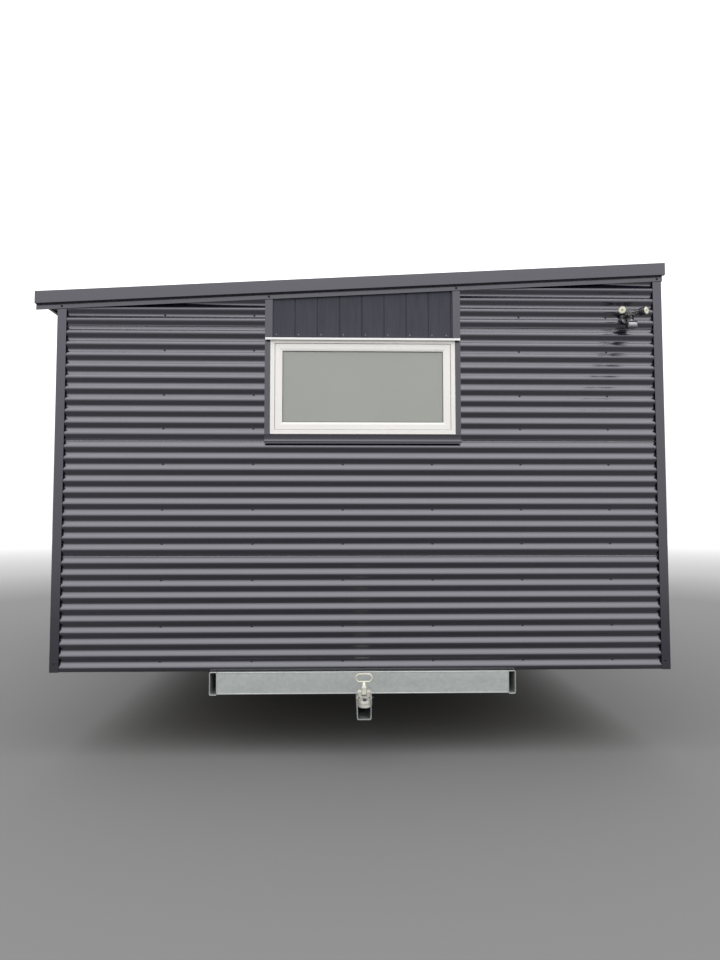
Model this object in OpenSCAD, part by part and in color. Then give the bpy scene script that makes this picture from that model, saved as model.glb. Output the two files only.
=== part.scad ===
// Tiny house on wheels: a steel-clad cabin with a single-slope roof on a galvanised trailer chassis.
// Millimetres, +Z up. The hitch end faces -Y, the low eave is at -X. The origin is on the ground,
// under the middle of the whole object's box.

/* [Body] */
// Width of the house over its corner flashings
house_w = 4082; // [3200:10:4600]
// Length of the house over its corner flashings
house_l = 7280; // [6600:10:9600]
// Height of the cladding's bottom edge above the ground
clad_z = 545; // [525:1:600]
// Height of the roof line above the cladding's bottom edge, at the middle of the house
roof_rise = 2626; // [2500:10:2900]
// Fall of the roof in degrees
roof_fall = 3.05; // [2:0.05:5]
// Thickness of the framed and lined walls
wall_t = 120; // [90:5:160]
// Thickness of the rafters and ceiling
rafter_t = 140; // [90:5:180]

/* [Cladding] */
// Pitch of the corrugations
rib_pitch = 75.6; // [70:0.1:80]
// Depth of the corrugations
rib_depth = 17; // [12:1:20]
// Corrugations in the cover width of one sheet
ribs_per_sheet = 10; // [6:1:12]
// Extra height taken up at each lap between sheets
lap_slack = 8; // [0:1:12]
// Height of the lowest crest above the cladding's bottom edge
first_crest = 24; // [18:1:50]
// Thickness of the folded and corrugated steel
steel_t = 2; // [1:0.5:3]
// Width of each leg of a corner flashing
corner_leg = 60; // [50:1:90]

/* [Openings] */
// Width of a window over its outer frame
window_w = 1240; // [800:2:1400]
// Height of a window over its outer frame
window_h = 642; // [500:5:1000]
// Drop of every opening's head under the roof line at the middle of the house
head_drop = 424; // [400:1:520]
// Width of the entrance slider over its outer frame
door_w = 1800; // [1500:10:2100]
// Middle of the entrance, measured from the hitch end
door_at = 1500; // [1400:10:1800]
// Middle of the left side's window, measured from the hitch end
left_window_at = 5300; // [4600:10:5500]
// Middle of the right side's first window, measured from the hitch end
right_window_at = 1900; // [1200:10:2400]
// Distance between the middles of the right side's two windows
right_window_gap = 3400; // [2400:10:4000]
// Width of the flat trims beside an opening
trim_w = 51; // [40:1:70]
// Width of the boards in the panel over an opening
board_w = 150; // [100:5:200]
// Face width of the outer frame
frame_face = 29; // [20:1:40]
// Face width of the sash
sash_face = 51; // [45:1:70]

/* [Roof edge] */
// Reach of the barges past the corner flashings at the low eave
eave_over = 140; // [120:5:200]
// Overhang of the eave's fascia past the corner flashings
fascia_over = 62; // [50:1:90]
// Reach of the barges and the cap past the corner flashings at the high side
high_over = 14; // [10:1:30]
// How far the high side's fascia stands out past the corner flashings
high_face = 5; // [3:1:9]
// How far the barges stand out past the corner flashings
barge_proud = 33; // [25:1:80]
// Height of a barge
barge_h = 83; // [70:1:120]
// Height of the strip that shows under a barge
strip_h = 36; // [30:1:60]

/* [Chassis] */
// Width over the two long rails
chassis_w = 2010; // [1700:10:2200]
// Depth of the rails and cross members
rail_h = 150; // [120:5:150]
// Width of the rails and cross members
rail_w = 50; // [40:5:60]
// Wall of the steel tubes
tube_wall = 5; // [3:0.5:6]
// Depth of the channel between the rails at the hitch end
channel_h = 144; // [115:1:150]
// Side of the square drawbar tube
drawbar_s = 90; // [80:5:100]
// Thickness of the packers between the rails and the drawbar tube
packer_t = 10; // [5:1:16]
// Reach of the drawbar tube past the hitch end wall
drawbar_reach = 225; // [200:5:300]
// Length of the drawbar tube
drawbar_l = 2300; // [1800:50:2600]
// Middle axle, measured from the hitch end
axle_at = 4000; // [3900:10:4200]
// Spacing of the axles
axle_gap = 800; // [780:10:840]
// Radius of a tyre before it flattens under load
tyre_r = 234; // [225:1:240]
// Flattening of a tyre where it stands
tyre_flat = 2; // [1:0.5:3]
// Width of a tyre
tyre_w = 195; // [165:5:205]
// Radius of the rim's bead seat
rim_r = 127; // [120:1:135]
// Side of the axle beams
axle_s = 50; // [40:5:60]

/* [Coupling] */
// Radius of the tow ball's socket
socket_r = 25.5; // [25.2:0.1:26]
// Outer radius of the nose round the socket
nose_r = 37; // [33:1:38]
// Reach of the socket's middle past the drawbar's end
socket_reach = 65; // [60:1:80]
// Width of the lift handle's loop
loop_w = 113; // [90:1:130]
// Height of the lift handle's loop
loop_h = 58; // [50:1:75]
// Diameter of the loop's rod
loop_rod = 11; // [8:1:14]

/* [Lights] */
// Middle of the security light, measured from the right corner flashing's face
light_in = 249; // [200:5:600]
// Height of the security light's lamps above the cladding's bottom edge
light_rise = 2378; // [2250:1:2400]
// Diameter of a lamp head
lamp_d = 54; // [45:1:60]
// Length of a lamp head
lamp_l = 72; // [55:1:90]
// Middle of the entrance light, measured from the hitch end
entry_light_at = 190; // [150:5:300]
// Height of the entrance light above the cladding's bottom edge
entry_light_rise = 2045; // [1700:5:2100]

/* [Hidden] */
$fn = 48;
// Clearance between a thin skin and what carries it
seat = 0.3;
// Play between a pin and the piece that turns on it
play = 0.15;
slope = tan(roof_fall);
// Depth of the flashing and corrugated skin outside the wall frame
skin = 2 * steel_t + rib_depth + 2 * seat;
wall_half = house_w / 2 - skin;
floor_joist = 140;
joist_t = 45;
joist_spacing = 600;
floor_board = 20;
chassis_top = clad_z - 2;
floor_top = chassis_top + floor_joist + floor_board;
head_z = clad_z + roof_rise - head_drop;
rail_z = chassis_top - rail_h;
// Clearance of the roof sheets and deck under the roof line
cap_t = 2;
crest_drop = cap_t + seat;
deck_drop = (crest_drop + rib_depth + steel_t + seat) / cos(roof_fall);
ceiling_drop = deck_drop + rafter_t;
strip_t = 5;
fascia_t = 20;
soffit_t = 9;
// Fascia board's outer face, measured from the middle of the house
fascia_x = house_w / 2 + fascia_over;
eave_x = house_w / 2 + eave_over;
high_x = house_w / 2 + high_over;
fascia_z = roof_z(-fascia_x) - barge_h - strip_h;
fascia_lip = 10;
soffit_z = fascia_z + fascia_lip;
// Where the tops of skins end, hidden behind the strips
tuck_drop = 60;
// Reach of a cap over the roof sheets
cap_reach = 140;
// Depth of the window and door frames
frame_proud = 12;
flange_lap = 14.5;
// How far the head flashings stand out past the corner flashings
head_proud = 30;
head_t = 4;
head_lip = 10.5;
sill_flash_h = 34;
sill_lip_h = 28;
groove_w = 8;
groove_d = 5;
glass_t = 24;
bead_t = 10;
rebate = 13;
sash_depth = 2 * bead_t + glass_t + 2 * seat;
// Coupling and house position in the row frame
nose_reach = drawbar_reach + socket_reach + nose_r;
house_x = (eave_over - max(high_over, head_proud)) / 2;
house_y = (nose_reach - max(barge_proud, head_proud) - house_l) / 2;
axle_z = tyre_r - tyre_flat;
axle_ys = [axle_at - axle_gap, axle_at, axle_at + axle_gap];
tyre_in = 35;
wheel_x = chassis_w / 2 + tyre_in + tyre_w / 2;
right_windows = [right_window_at, right_window_at + right_window_gap];
cross_ys = [1400, axle_at - 1.5 * axle_gap, axle_at - axle_gap / 2, axle_at + axle_gap / 2,
            axle_at + 1.5 * axle_gap, (axle_at + 1.5 * axle_gap + house_l) / 2, house_l - rail_w / 2];

// Height of the roof line at a distance x from the middle of the house
function roof_z(x) = clad_z + roof_rise + x * slope;
// Height of crest k, counted from the lowest
function crest_z(k) = first_crest + k * rib_pitch + floor(k / ribs_per_sheet) * lap_slack;
// Depth of the corrugation at the share t of the way from one crest to the next
function wave(t) = rib_depth * (1 - cos(360 * t)) / 2;

// Moves the house frame, with its origin under the hitch end's middle, to the row frame
module set_out() {
    translate([house_x, house_y, 0]) children();
}

// Wall frames: u runs along the wall, v goes inward from the corner flashing's face
module on_front() {
    set_out() children();
}
module on_rear() {
    set_out() translate([0, house_l, 0]) rotate([0, 0, 180]) children();
}
// On the long sides u is the distance from the hitch end
module on_left() {
    set_out() translate([-house_w / 2, 0, 0]) mirror([1, -1, 0]) children();
}
module on_right() {
    set_out() translate([house_w / 2, 0, 0]) rotate([0, 0, 90]) children();
}

// A box from its low corner to its high corner
module block(lo, hi) {
    translate(lo) cube(hi - lo);
}
// An outline in x and z, from y0 to y1
module xz_prism(outline, y0, y1) {
    translate([0, y1, 0]) rotate([90, 0, 0]) linear_extrude(y1 - y0) polygon(outline);
}
// An outline in y and z, from x0 to x1
module yz_prism(outline, x0, x1) {
    translate([x0, 0, 0]) rotate([90, 0, 90]) linear_extrude(x1 - x0) polygon(outline);
}
// A band under the roof line, from x0 to x1 and between two drops
module roof_band(x0, x1, drop_top, drop_bottom, y0, y1) {
    xz_prism([[x0, roof_z(x0) - drop_bottom], [x1, roof_z(x1) - drop_bottom],
              [x1, roof_z(x1) - drop_top], [x0, roof_z(x0) - drop_top]], y0, y1);
}

// The body of an opening's frame, cut through a framed wall
module frame_cut(at, w, z0, z1) {
    half = w / 2 - flange_lap + 0.5;
    block([at - half, skin - 1, z0 + flange_lap - 0.5],
          [at + half, skin + wall_t + 1, z1 - flange_lap + 0.5]);
}
// The slot in the cladding, from the sill flashing up past the top
module clad_cut(at, w, z0) {
    half = w / 2 - flange_lap + trim_w - 18;
    block([at - half, -1, z0 - 42], [at + half, skin + 1, roof_z(house_w)]);
}
module window_cuts(at) {
    frame_cut(at, window_w, head_z - window_h, head_z);
}
door_z = floor_top - flange_lap + 0.5;

// Edge joists along the sides, with cross joists fitted between them
module floor_frame() {
    bays = round((house_l - 2 * skin) / joist_spacing);
    bay = (house_l - 2 * skin - joist_t) / bays;
    color("burlywood") set_out() {
        for (side = [0, 1]) mirror([side, 0, 0])
            block([-wall_half, skin, chassis_top],
                  [-wall_half + joist_t, house_l - skin, floor_top - floor_board]);
        for (i = [0:bays])
            block([-wall_half + joist_t + seat, skin + i * bay, chassis_top],
                  [wall_half - joist_t - seat, skin + i * bay + joist_t, floor_top - floor_board]);
    }
}

module floor_panel() {
    color("tan") set_out()
        block([-wall_half, skin, floor_top - floor_board], [wall_half, house_l - skin, floor_top]);
}

module end_wall() {
    difference() {
        xz_prism([[-wall_half, floor_top], [wall_half, floor_top],
                  [wall_half, roof_z(wall_half) - ceiling_drop - seat],
                  [-wall_half, roof_z(-wall_half) - ceiling_drop - seat]], skin, skin + wall_t);
        window_cuts(0);
    }
}
module front_wall() {
    color("whitesmoke") on_front() end_wall();
}
module rear_wall() {
    color("whitesmoke") set_out() translate([0, house_l, 0]) mirror([0, 1, 0]) end_wall();
}

// A long wall between the end walls, with its top cut to the roof's slope
module long_wall(side) {
    outer = side * wall_half;
    inner = side * (wall_half - wall_t);
    low = min(outer, inner);
    high = max(outer, inner);
    set_out() xz_prism([[low, floor_top], [high, floor_top], [high, roof_z(high) - ceiling_drop - seat],
                        [low, roof_z(low) - ceiling_drop - seat]], skin + wall_t, house_l - skin - wall_t);
}
module left_wall() {
    color("whitesmoke") difference() {
        long_wall(-1);
        on_left() window_cuts(left_window_at);
        on_left() frame_cut(door_at, door_w, door_z, head_z);
    }
}
module right_wall() {
    color("whitesmoke") difference() {
        long_wall(1);
        for (at = right_windows) on_right() window_cuts(at);
    }
}

// Rafters, insulation and ceiling, with the rafter tails cut back over the eave's soffit
module roof_panel() {
    tail = fascia_x - fascia_t;
    color("whitesmoke") set_out()
        xz_prism([[-tail, soffit_z + soffit_t + seat], [-wall_half, soffit_z + soffit_t + seat],
                  [-wall_half, roof_z(-wall_half) - ceiling_drop],
                  [wall_half, roof_z(wall_half) - ceiling_drop],
                  [wall_half, roof_z(wall_half) - deck_drop], [-tail, roof_z(-tail) - deck_drop]],
                 skin, house_l - skin);
}

// Corrugated steel in a wall frame, from u0 to u1, taller than the wall
module corrugated(u0, u1, top) {
    steps = 12;
    v0 = steel_t + seat;
    last = ceil((top - clad_z) / rib_pitch) + 1;
    outer = [for (k = [-1:last], j = [0:steps - 1])
             [v0 + wave(j / steps), clad_z + crest_z(k) + j / steps * (crest_z(k + 1) - crest_z(k))]];
    inner = [for (i = [len(outer) - 1:-1:0]) outer[i] + [steel_t, 0]];
    translate([u0, 0, 0]) rotate([90, 0, 90]) linear_extrude(u1 - u0) polygon(concat(outer, inner));
}
module end_cladding() {
    difference() {
        intersection() {
            corrugated(-wall_half, wall_half, roof_z(wall_half));
            xz_prism([[-house_w, clad_z], [house_w, clad_z], [house_w, roof_z(house_w) - tuck_drop],
                      [-house_w, roof_z(-house_w) - tuck_drop]], -1, skin + 1);
        }
        clad_cut(0, window_w, head_z - window_h);
    }
}
module side_cladding(top) {
    intersection() {
        corrugated(skin, house_l - skin, top);
        block([0, -1, clad_z], [house_l, skin + 1, top]);
    }
}
module front_cladding() {
    color("dimgray") on_front() end_cladding();
}
module rear_cladding() {
    color("dimgray") set_out() translate([0, house_l, 0]) mirror([0, 1, 0]) end_cladding();
}
left_clad_top = soffit_z - seat;
right_clad_top = roof_z(wall_half) - tuck_drop;
module left_cladding() {
    color("dimgray") on_left() difference() {
        side_cladding(left_clad_top);
        clad_cut(left_window_at, window_w, head_z - window_h);
        clad_cut(door_at, door_w, door_z);
    }
}
module right_cladding() {
    color("dimgray") on_right() difference() {
        side_cladding(right_clad_top);
        for (at = right_windows) clad_cut(at, window_w, head_z - window_h);
    }
}

// One corner flashing, its corner at the origin and its legs along +x and +y
module corner_angle(top) {
    difference() {
        block([0, 0, clad_z], [corner_leg, corner_leg, top]);
        block([steel_t, steel_t, clad_z - 1], [corner_leg + 1, corner_leg + 1, top + 1]);
    }
}
module corner_flashings() {
    half = house_w / 2;
    color("dimgray") set_out() for (end = [0, 1]) translate([0, end * house_l, 0]) mirror([0, end, 0]) {
        translate([-half, 0, 0]) corner_angle(left_clad_top);
        block([-half, 0, left_clad_top - 1], [-half + corner_leg, steel_t, roof_z(-half) - tuck_drop]);
        translate([half, 0, 0]) mirror([1, 0, 0]) corner_angle(right_clad_top);
    }
}

// Corrugated roof, its ribs running down the slope and past the fascia
sheet_over = 30;
// How far the sheets reach past the corner flashings at the ends
sheet_end = 4;
module roof_sheets() {
    steps = 8;
    span = house_l + 2 * sheet_end;
    ribs = floor(span / rib_pitch);
    pitch = span / ribs;
    outer = [for (k = [0:ribs - 1], j = [0:steps - 1]) [(k + j / steps) * pitch, -wave(j / steps)]];
    top = concat(outer, [[span, 0]]);
    under = [for (i = [len(top) - 1:-1:0]) top[i] - [0, steel_t]];
    low = -(fascia_x + sheet_over);
    high = house_w / 2 - seat;
    color("dimgray") set_out() translate([0, -sheet_end, roof_z(0)]) rotate([0, -roof_fall, 0])
        translate([low, 0, -crest_drop]) rotate([90, 0, 90]) linear_extrude(high - low)
            polygon(concat(top, under));
}

module barge() {
    roof_band(-eave_x, high_x, cap_t, barge_h, -barge_proud, -strip_t - seat);
    roof_band(-eave_x, high_x, 0, cap_t, -barge_proud, cap_reach);
}
module front_barge() {
    color("dimgray") on_front() barge();
}
module rear_barge() {
    color("dimgray") set_out() translate([0, house_l, 0]) mirror([0, 1, 0]) barge();
}
// Drop of the strips' hidden top edge
strip_top_drop = 40;
module barge_strips() {
    color("dimgray") set_out() for (end = [0, 1]) translate([0, end * house_l, 0]) mirror([0, end, 0])
        roof_band(-eave_x, house_w / 2 + high_face, strip_top_drop, barge_h + strip_h, -strip_t, -seat);
}

module eave_fascia() {
    color("dimgray") set_out()
        block([-fascia_x, 0, fascia_z], [-fascia_x + fascia_t, house_l, roof_z(-fascia_x) - deck_drop]);
}
module eave_soffit() {
    color("gray") set_out()
        block([-fascia_x + fascia_t, skin, soffit_z], [-wall_half, house_l - skin, soffit_z + soffit_t]);
}
module high_fascia() {
    half = house_w / 2;
    color("dimgray") set_out() {
        roof_band(half + seat, half + high_face, crest_drop, barge_h + strip_h, 0, house_l);
        roof_band(high_x - cap_reach, high_x, 0, cap_t, cap_reach + seat, house_l - cap_reach - seat);
        roof_band(half + seat, half + high_face, cap_t - 1, crest_drop + 1, cap_reach + seat,
                  house_l - cap_reach - seat);
    }
}

// A square ring in a wall frame: outer box less inner box, from depth v0 to v1
module ring(at, w, z0, z1, face, v0, v1) {
    difference() {
        block([at - w / 2, v0, z0], [at + w / 2, v1, z1]);
        block([at - w / 2 + face, v0 - 1, z0 + face], [at + w / 2 - face, v1 + 1, z1 - face]);
    }
}
// Outer frame: flange, body and the stop that the sash closes on
module joinery_frame(at, w, z0, z1, back) {
    ring(at, w, z0, z1, frame_face, -frame_proud, -seat);
    ring(at, w - 2 * flange_lap, z0 + flange_lap, z1 - flange_lap, frame_face - flange_lap, -1, back);
    ring(at, w - 2 * flange_lap, z0 + flange_lap, z1 - flange_lap, frame_face + 4, back - 20, back);
}
// Sash: a face, a rim round the sealed glass and a glazing bead
module sash(at, w, z0, z1, v0) {
    ring(at, w, z0, z1, sash_face, v0, v0 + bead_t);
    ring(at, w, z0, z1, sash_face - rebate, v0, v0 + sash_depth);
    ring(at, w, z0, z1, sash_face, v0 + sash_depth - bead_t, v0 + sash_depth);
}
// Sealed glass, held in the sash's rebate
module pane(at, w, z0, z1, v0) {
    rim = sash_face - rebate + seat;
    block([at - w / 2 + rim, v0 + bead_t + seat, z0 + rim],
          [at + w / 2 - rim, v0 + sash_depth - bead_t - seat, z1 - rim]);
}
module window_frame_at(at) {
    joinery_frame(at, window_w, head_z - window_h, head_z, sash_v + sash_depth + seat + 20);
}
sash_clear = 0.6;
sash_w = window_w - 2 * frame_face - 2 * sash_clear;
sash_z0 = head_z - window_h + frame_face + sash_clear;
sash_z1 = head_z - frame_face - sash_clear;
sash_v = -8;
module window_sash_at(at) {
    sash(at, sash_w, sash_z0, sash_z1, sash_v);
}
module window_pane_at(at) {
    pane(at, sash_w, sash_z0, sash_z1, sash_v);
}
module every_window() {
    on_front() place_at(0) children();
    on_rear() place_at(0) children();
    on_left() place_at(left_window_at) children();
    for (at = right_windows) on_right() place_at(at) children();
}
module place_at(at) {
    translate([at, 0, 0]) children();
}
module window_frames() {
    color("white") every_window() window_frame_at(0);
}
module window_sashes() {
    color("white") every_window() window_sash_at(0);
}
module window_glass() {
    color("lightblue") every_window() window_pane_at(0);
}

// Depth of the boards' faces
panel_v = 9.3;
// Folded head flashing over a frame, with a drip lip in front
module head_flashing(w) {
    half = w / 2 + 33;
    inner = w / 2 - flange_lap;
    z = head_z + seat;
    block([-half, -head_proud, z], [half, -seat, z + head_t]);
    block([-inner + seat, -2, z], [inner - seat, panel_v - seat, z + head_t]);
    block([-half, -head_proud, z - head_lip], [half, 3 - head_proud, z + 1]);
}
module head_flashings() {
    color("white") {
        every_window() head_flashing(window_w);
        on_left() place_at(door_at) head_flashing(door_w);
    }
}

// Two upright trims beside an opening, folded back to the wall frame on their inner edges
module trim_pair(w, z0, top_left, top_right) {
    inner = w / 2 - flange_lap + 2;
    for (side = [-1, 1]) {
        top = side < 0 ? top_left : top_right;
        block([side < 0 ? -inner - trim_w : inner, 0, z0 - 34],
              [side < 0 ? -inner : inner + trim_w, steel_t, top]);
        block([side < 0 ? -inner - steel_t : inner, 0, z0 - 34],
              [side < 0 ? -inner : inner + steel_t, skin - seat, top]);
    }
}
window_z = head_z - window_h;
module opening_trims() {
    reach = window_w / 2 + trim_w;
    side_top = roof_z(house_w / 2 - 30) - tuck_drop;
    color("dimgray") {
        on_front() trim_pair(window_w, window_z, roof_z(-reach) - tuck_drop,
                             roof_z(reach - trim_w) - tuck_drop);
        on_rear() trim_pair(window_w, window_z, roof_z(reach - trim_w) - tuck_drop,
                            roof_z(-reach) - tuck_drop);
        on_left() place_at(left_window_at) trim_pair(window_w, window_z, left_clad_top, left_clad_top);
        on_left() place_at(door_at) trim_pair(door_w, door_z, left_clad_top, left_clad_top);
        for (at = right_windows)
            on_right() place_at(at) trim_pair(window_w, window_z, right_clad_top, right_clad_top);
    }
}

// Sill flashing: an upright face under the frame and a lower lip on the corrugations
module sill_flashing(w, z) {
    half = w / 2 - flange_lap + 2 + trim_w;
    block([-half, -8, z - sill_flash_h], [half, -seat, z - seat]);
    block([-half, -2 - seat, z - sill_flash_h - sill_lip_h], [half, -seat, z - sill_flash_h + 1]);
}
module sill_flashings() {
    color("dimgray") {
        every_window() sill_flashing(window_w, window_z);
        on_left() place_at(door_at) sill_flashing(door_w, door_z);
    }
}

// Boarded panel over an opening: upright boards with square grooves between them
module grooved_panel(w, top_left, top_right) {
    half = w / 2 - flange_lap + 2 - seat;
    z0 = head_z + seat + head_t + seat;
    difference() {
        xz_prism([[-half, z0], [half, z0], [half, top_right], [-half, top_left]], panel_v, skin - seat);
        for (u = [-half + board_w:board_w:half - groove_w])
            block([u - groove_w / 2, panel_v - 1, z0 - 1],
                  [u + groove_w / 2, panel_v + groove_d, roof_z(house_w / 2)]);
    }
}
module grooved_panels() {
    half = window_w / 2;
    color("darkslategray") {
        on_front() grooved_panel(window_w, roof_z(-half) - tuck_drop, roof_z(half) - tuck_drop);
        on_rear() grooved_panel(window_w, roof_z(half) - tuck_drop, roof_z(-half) - tuck_drop);
        on_left() place_at(left_window_at) grooved_panel(window_w, left_clad_top, left_clad_top);
        on_left() place_at(door_at) grooved_panel(door_w, left_clad_top, left_clad_top);
        for (at = right_windows)
            on_right() place_at(at) grooved_panel(window_w, right_clad_top, right_clad_top);
    }
}

module door_frame() {
    color("white") on_left() place_at(door_at)
        joinery_frame(0, door_w, door_z, head_z, leaf_v[1] + sash_depth + seat + 20);
}
// The two leaves of the slider overlap at the middle, the sliding one on the inner track
leaf_z0 = door_z + frame_face + sash_clear;
leaf_z1 = head_z - frame_face - sash_clear;
leaf_w = door_w / 2 - frame_face - sash_clear + sash_face / 2;
leaf_at = (leaf_w - sash_face) / 2;
leaf_v = [sash_v, sash_v + sash_depth + 2 * seat];
module door_leaves() {
    color("white") on_left() place_at(door_at) for (i = [0, 1])
        sash((1 - 2 * i) * leaf_at, leaf_w, leaf_z0, leaf_z1, leaf_v[i]);
}
module door_glass() {
    color("lightblue") on_left() place_at(door_at) for (i = [0, 1])
        pane((1 - 2 * i) * leaf_at, leaf_w, leaf_z0, leaf_z1, leaf_v[i]);
}

// Bow handle on the sliding leaf's lock stile
module entrance_handle() {
    rod_r = 7.5;
    bend_r = 20;
    bow_h = 220;
    stand = 31;
    foot_r = 15;
    stile = door_at + leaf_at + leaf_w / 2 - sash_face / 2;
    color("silver") on_left() translate([stile, sash_v - seat, door_z + 1020]) {
        for (s = [0, 1]) mirror([0, 0, s]) translate([0, 0, bow_h / 2]) {
            rotate([90, 0, 0]) cylinder(r = foot_r, h = 4);
            rotate([90, 0, 0]) cylinder(r = rod_r, h = stand - bend_r);
            translate([0, bend_r - stand, -bend_r]) rotate([90, 0, 90]) rotate([0, 0, 90])
                rotate_extrude(angle = 90) translate([bend_r, 0]) circle(r = rod_r);
        }
        translate([0, -stand, -bow_h / 2 + bend_r]) cylinder(r = rod_r, h = bow_h - 2 * bend_r);
    }
}

// A rectangle about the origin with round corners
module round_rect(w, h, r) {
    square([w - 2 * r, h], center = true);
    square([w, h - 2 * r], center = true);
    for (x = [-1, 1], y = [-1, 1]) translate([x * (w / 2 - r), y * (h / 2 - r)]) circle(r = r);
}
// A cold-rolled rectangular tube along y, open at both ends
module tube_y(x0, x1, z0, z1, y0, y1) {
    w = x1 - x0;
    h = z1 - z0;
    translate([x0 + w / 2, y1, z0 + h / 2]) rotate([90, 0, 0]) linear_extrude(y1 - y0) difference() {
        round_rect(w, h, 2 * tube_wall);
        round_rect(w - 2 * tube_wall, h - 2 * tube_wall, tube_wall);
    }
}
module chassis_rails() {
    outer = chassis_w / 2;
    color("silver") set_out() {
        tube_y(-outer, -outer + rail_w, rail_z, chassis_top, -chassis_proud, house_l);
        tube_y(outer - rail_w, outer, rail_z, chassis_top, -chassis_proud, house_l);
    }
}
rail_in = chassis_w / 2 - rail_w;
// How far the chassis stands out past the cladding at the hitch end
chassis_proud = 6;
channel_t = 4;
module front_channel() {
    low = chassis_top - channel_h;
    back = rail_w - chassis_proud;
    color("silver") set_out()
        yz_prism([[-chassis_proud, low], [back, low], [back, low + channel_t],
                  [channel_t - chassis_proud, low + channel_t],
                  [channel_t - chassis_proud, chassis_top - channel_t], [back, chassis_top - channel_t],
                  [back, chassis_top], [-chassis_proud, chassis_top]], -rail_in, rail_in);
}
module cross_members() {
    color("silver") set_out() for (y = cross_ys)
        translate([0, y, 0]) rotate([0, 0, 90])
            tube_y(-rail_w / 2, rail_w / 2, rail_z, chassis_top, -rail_in, rail_in);
}
// Tapered brackets that carry the floor outside the rails
module outriggers() {
    inner = chassis_w / 2;
    tip = wall_half - 60;
    web = [[inner, rail_z + 20], [tip, chassis_top - 55], [tip, chassis_top - 5], [inner, chassis_top - 5]];
    color("silver") set_out() for (side = [0, 1]) mirror([side, 0, 0]) for (y = cross_ys) {
        xz_prism(web, y - 3, y + 3);
        block([inner, y - rail_w / 2, chassis_top - 6], [tip, y + rail_w / 2, chassis_top]);
    }
}
// Square tube under the chassis, with a packer where it crosses each member
drawbar_z = rail_z - packer_t;
module drawbar() {
    half = drawbar_s / 2;
    color("silver") set_out() {
        tube_y(-half, half, drawbar_z - drawbar_s, drawbar_z, -drawbar_reach, drawbar_l - drawbar_reach);
        block([-half, -chassis_proud, drawbar_z - 1],
              [half, rail_w - chassis_proud, chassis_top - channel_h - seat]);
        block([-half, cross_ys[0] - rail_w / 2, drawbar_z - 1],
              [half, cross_ys[0] + rail_w / 2, rail_z - seat]);
    }
}

hub_r = 70;
hub_x = chassis_w / 2 + 18;
module axles() {
    color("silver") set_out() for (y = axle_ys) translate([0, y, axle_z]) {
        block([-hub_x, -axle_s / 2, -axle_s / 2], [hub_x, axle_s / 2, axle_s / 2]);
        for (side = [-1, 1]) translate([side * hub_x, 0, 0]) rotate([0, side * 90, 0]) {
            cylinder(r = 24, h = wheel_x - hub_x - 16);
            translate([0, 0, wheel_x - hub_x - 36]) cylinder(r = hub_r, h = 20);
        }
    }
}
// Slipper spring: arched leaves of falling length, clamped over the axle beam
leaf_t = 8;
leaf_count = 4;
spring_half = 300;
spring_w = 45;
spring_x = chassis_w / 2 - rail_w / 2;
eye_z = rail_z - 34;
clamp_h = 12;
spring_rise = eye_z - (axle_z + axle_s / 2) - clamp_h;
// Underside of the longest leaf at a distance y from the axle
function arch(y) = axle_z + axle_s / 2 + clamp_h + (leaf_count - 1) * leaf_t
                   + (spring_rise - (leaf_count - 1) * leaf_t) * pow(y / spring_half, 2);
// Half length of leaf i, counted from the longest
function leaf_half(i) = i < leaf_count ? spring_half * (1 - 0.2 * i) : 0;
// The pack of leaves, its ends stepped as each leaf stops short of the one above
module leaf_pack() {
    steps = 24;
    part_steps = 3;
    top = [for (i = [0:steps]) let (y = spring_half * (2 * i / steps - 1)) [y, arch(y) + leaf_t]];
    under = [for (i = [0:leaf_count - 1], j = [0:part_steps])
             let (y = leaf_half(i) + (leaf_half(i + 1) - leaf_half(i)) * j / part_steps)
             [y, arch(y) - i * leaf_t]];
    polygon(concat(top, under, [for (k = [len(under) - 2:-1:0]) [-under[k][0], under[k][1]]]));
}
module leaf_springs() {
    clamp_half = 45;
    eye_r = 14;
    color("dimgray") set_out() for (side = [-1, 1], y = axle_ys)
        translate([side * spring_x - spring_w / 2, y, 0]) rotate([90, 0, 90]) linear_extrude(spring_w) {
            leaf_pack();
            translate([-clamp_half, axle_z + axle_s / 2]) square([2 * clamp_half, clamp_h + 1]);
            translate([-spring_half, eye_z]) circle(r = eye_r);
        }
}
// Hanger cheeks under the rail, with the pins of the spring eyes
module spring_hangers() {
    gap = spring_w / 2 + seat;
    cheek_t = 6;
    eye_cheek = 25;
    slipper_in = 45;
    slipper_out = 30;
    pad_l = 12;
    color("silver") set_out() for (side = [-1, 1], y = axle_ys) translate([side * spring_x, y, 0]) {
        for (s = [0, 1]) mirror([s, 0, 0]) {
            block([gap, -spring_half - eye_cheek, eye_z - 22],
                  [gap + cheek_t, -spring_half + eye_cheek, rail_z]);
            block([gap, spring_half - slipper_in, eye_z - 8],
                  [gap + cheek_t, spring_half + slipper_out, rail_z]);
        }
        block([-gap, -spring_half - eye_cheek, rail_z - cheek_t], [gap, -spring_half + eye_cheek, rail_z]);
        block([-gap, spring_half - slipper_in, rail_z - cheek_t], [gap, spring_half + slipper_out, rail_z]);
        block([-gap, spring_half - pad_l, eye_z + leaf_t + seat], [gap, spring_half, rail_z]);
    }
}

rim_half = tyre_w / 2 - 22;
flange_r = rim_r + 10;
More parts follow.
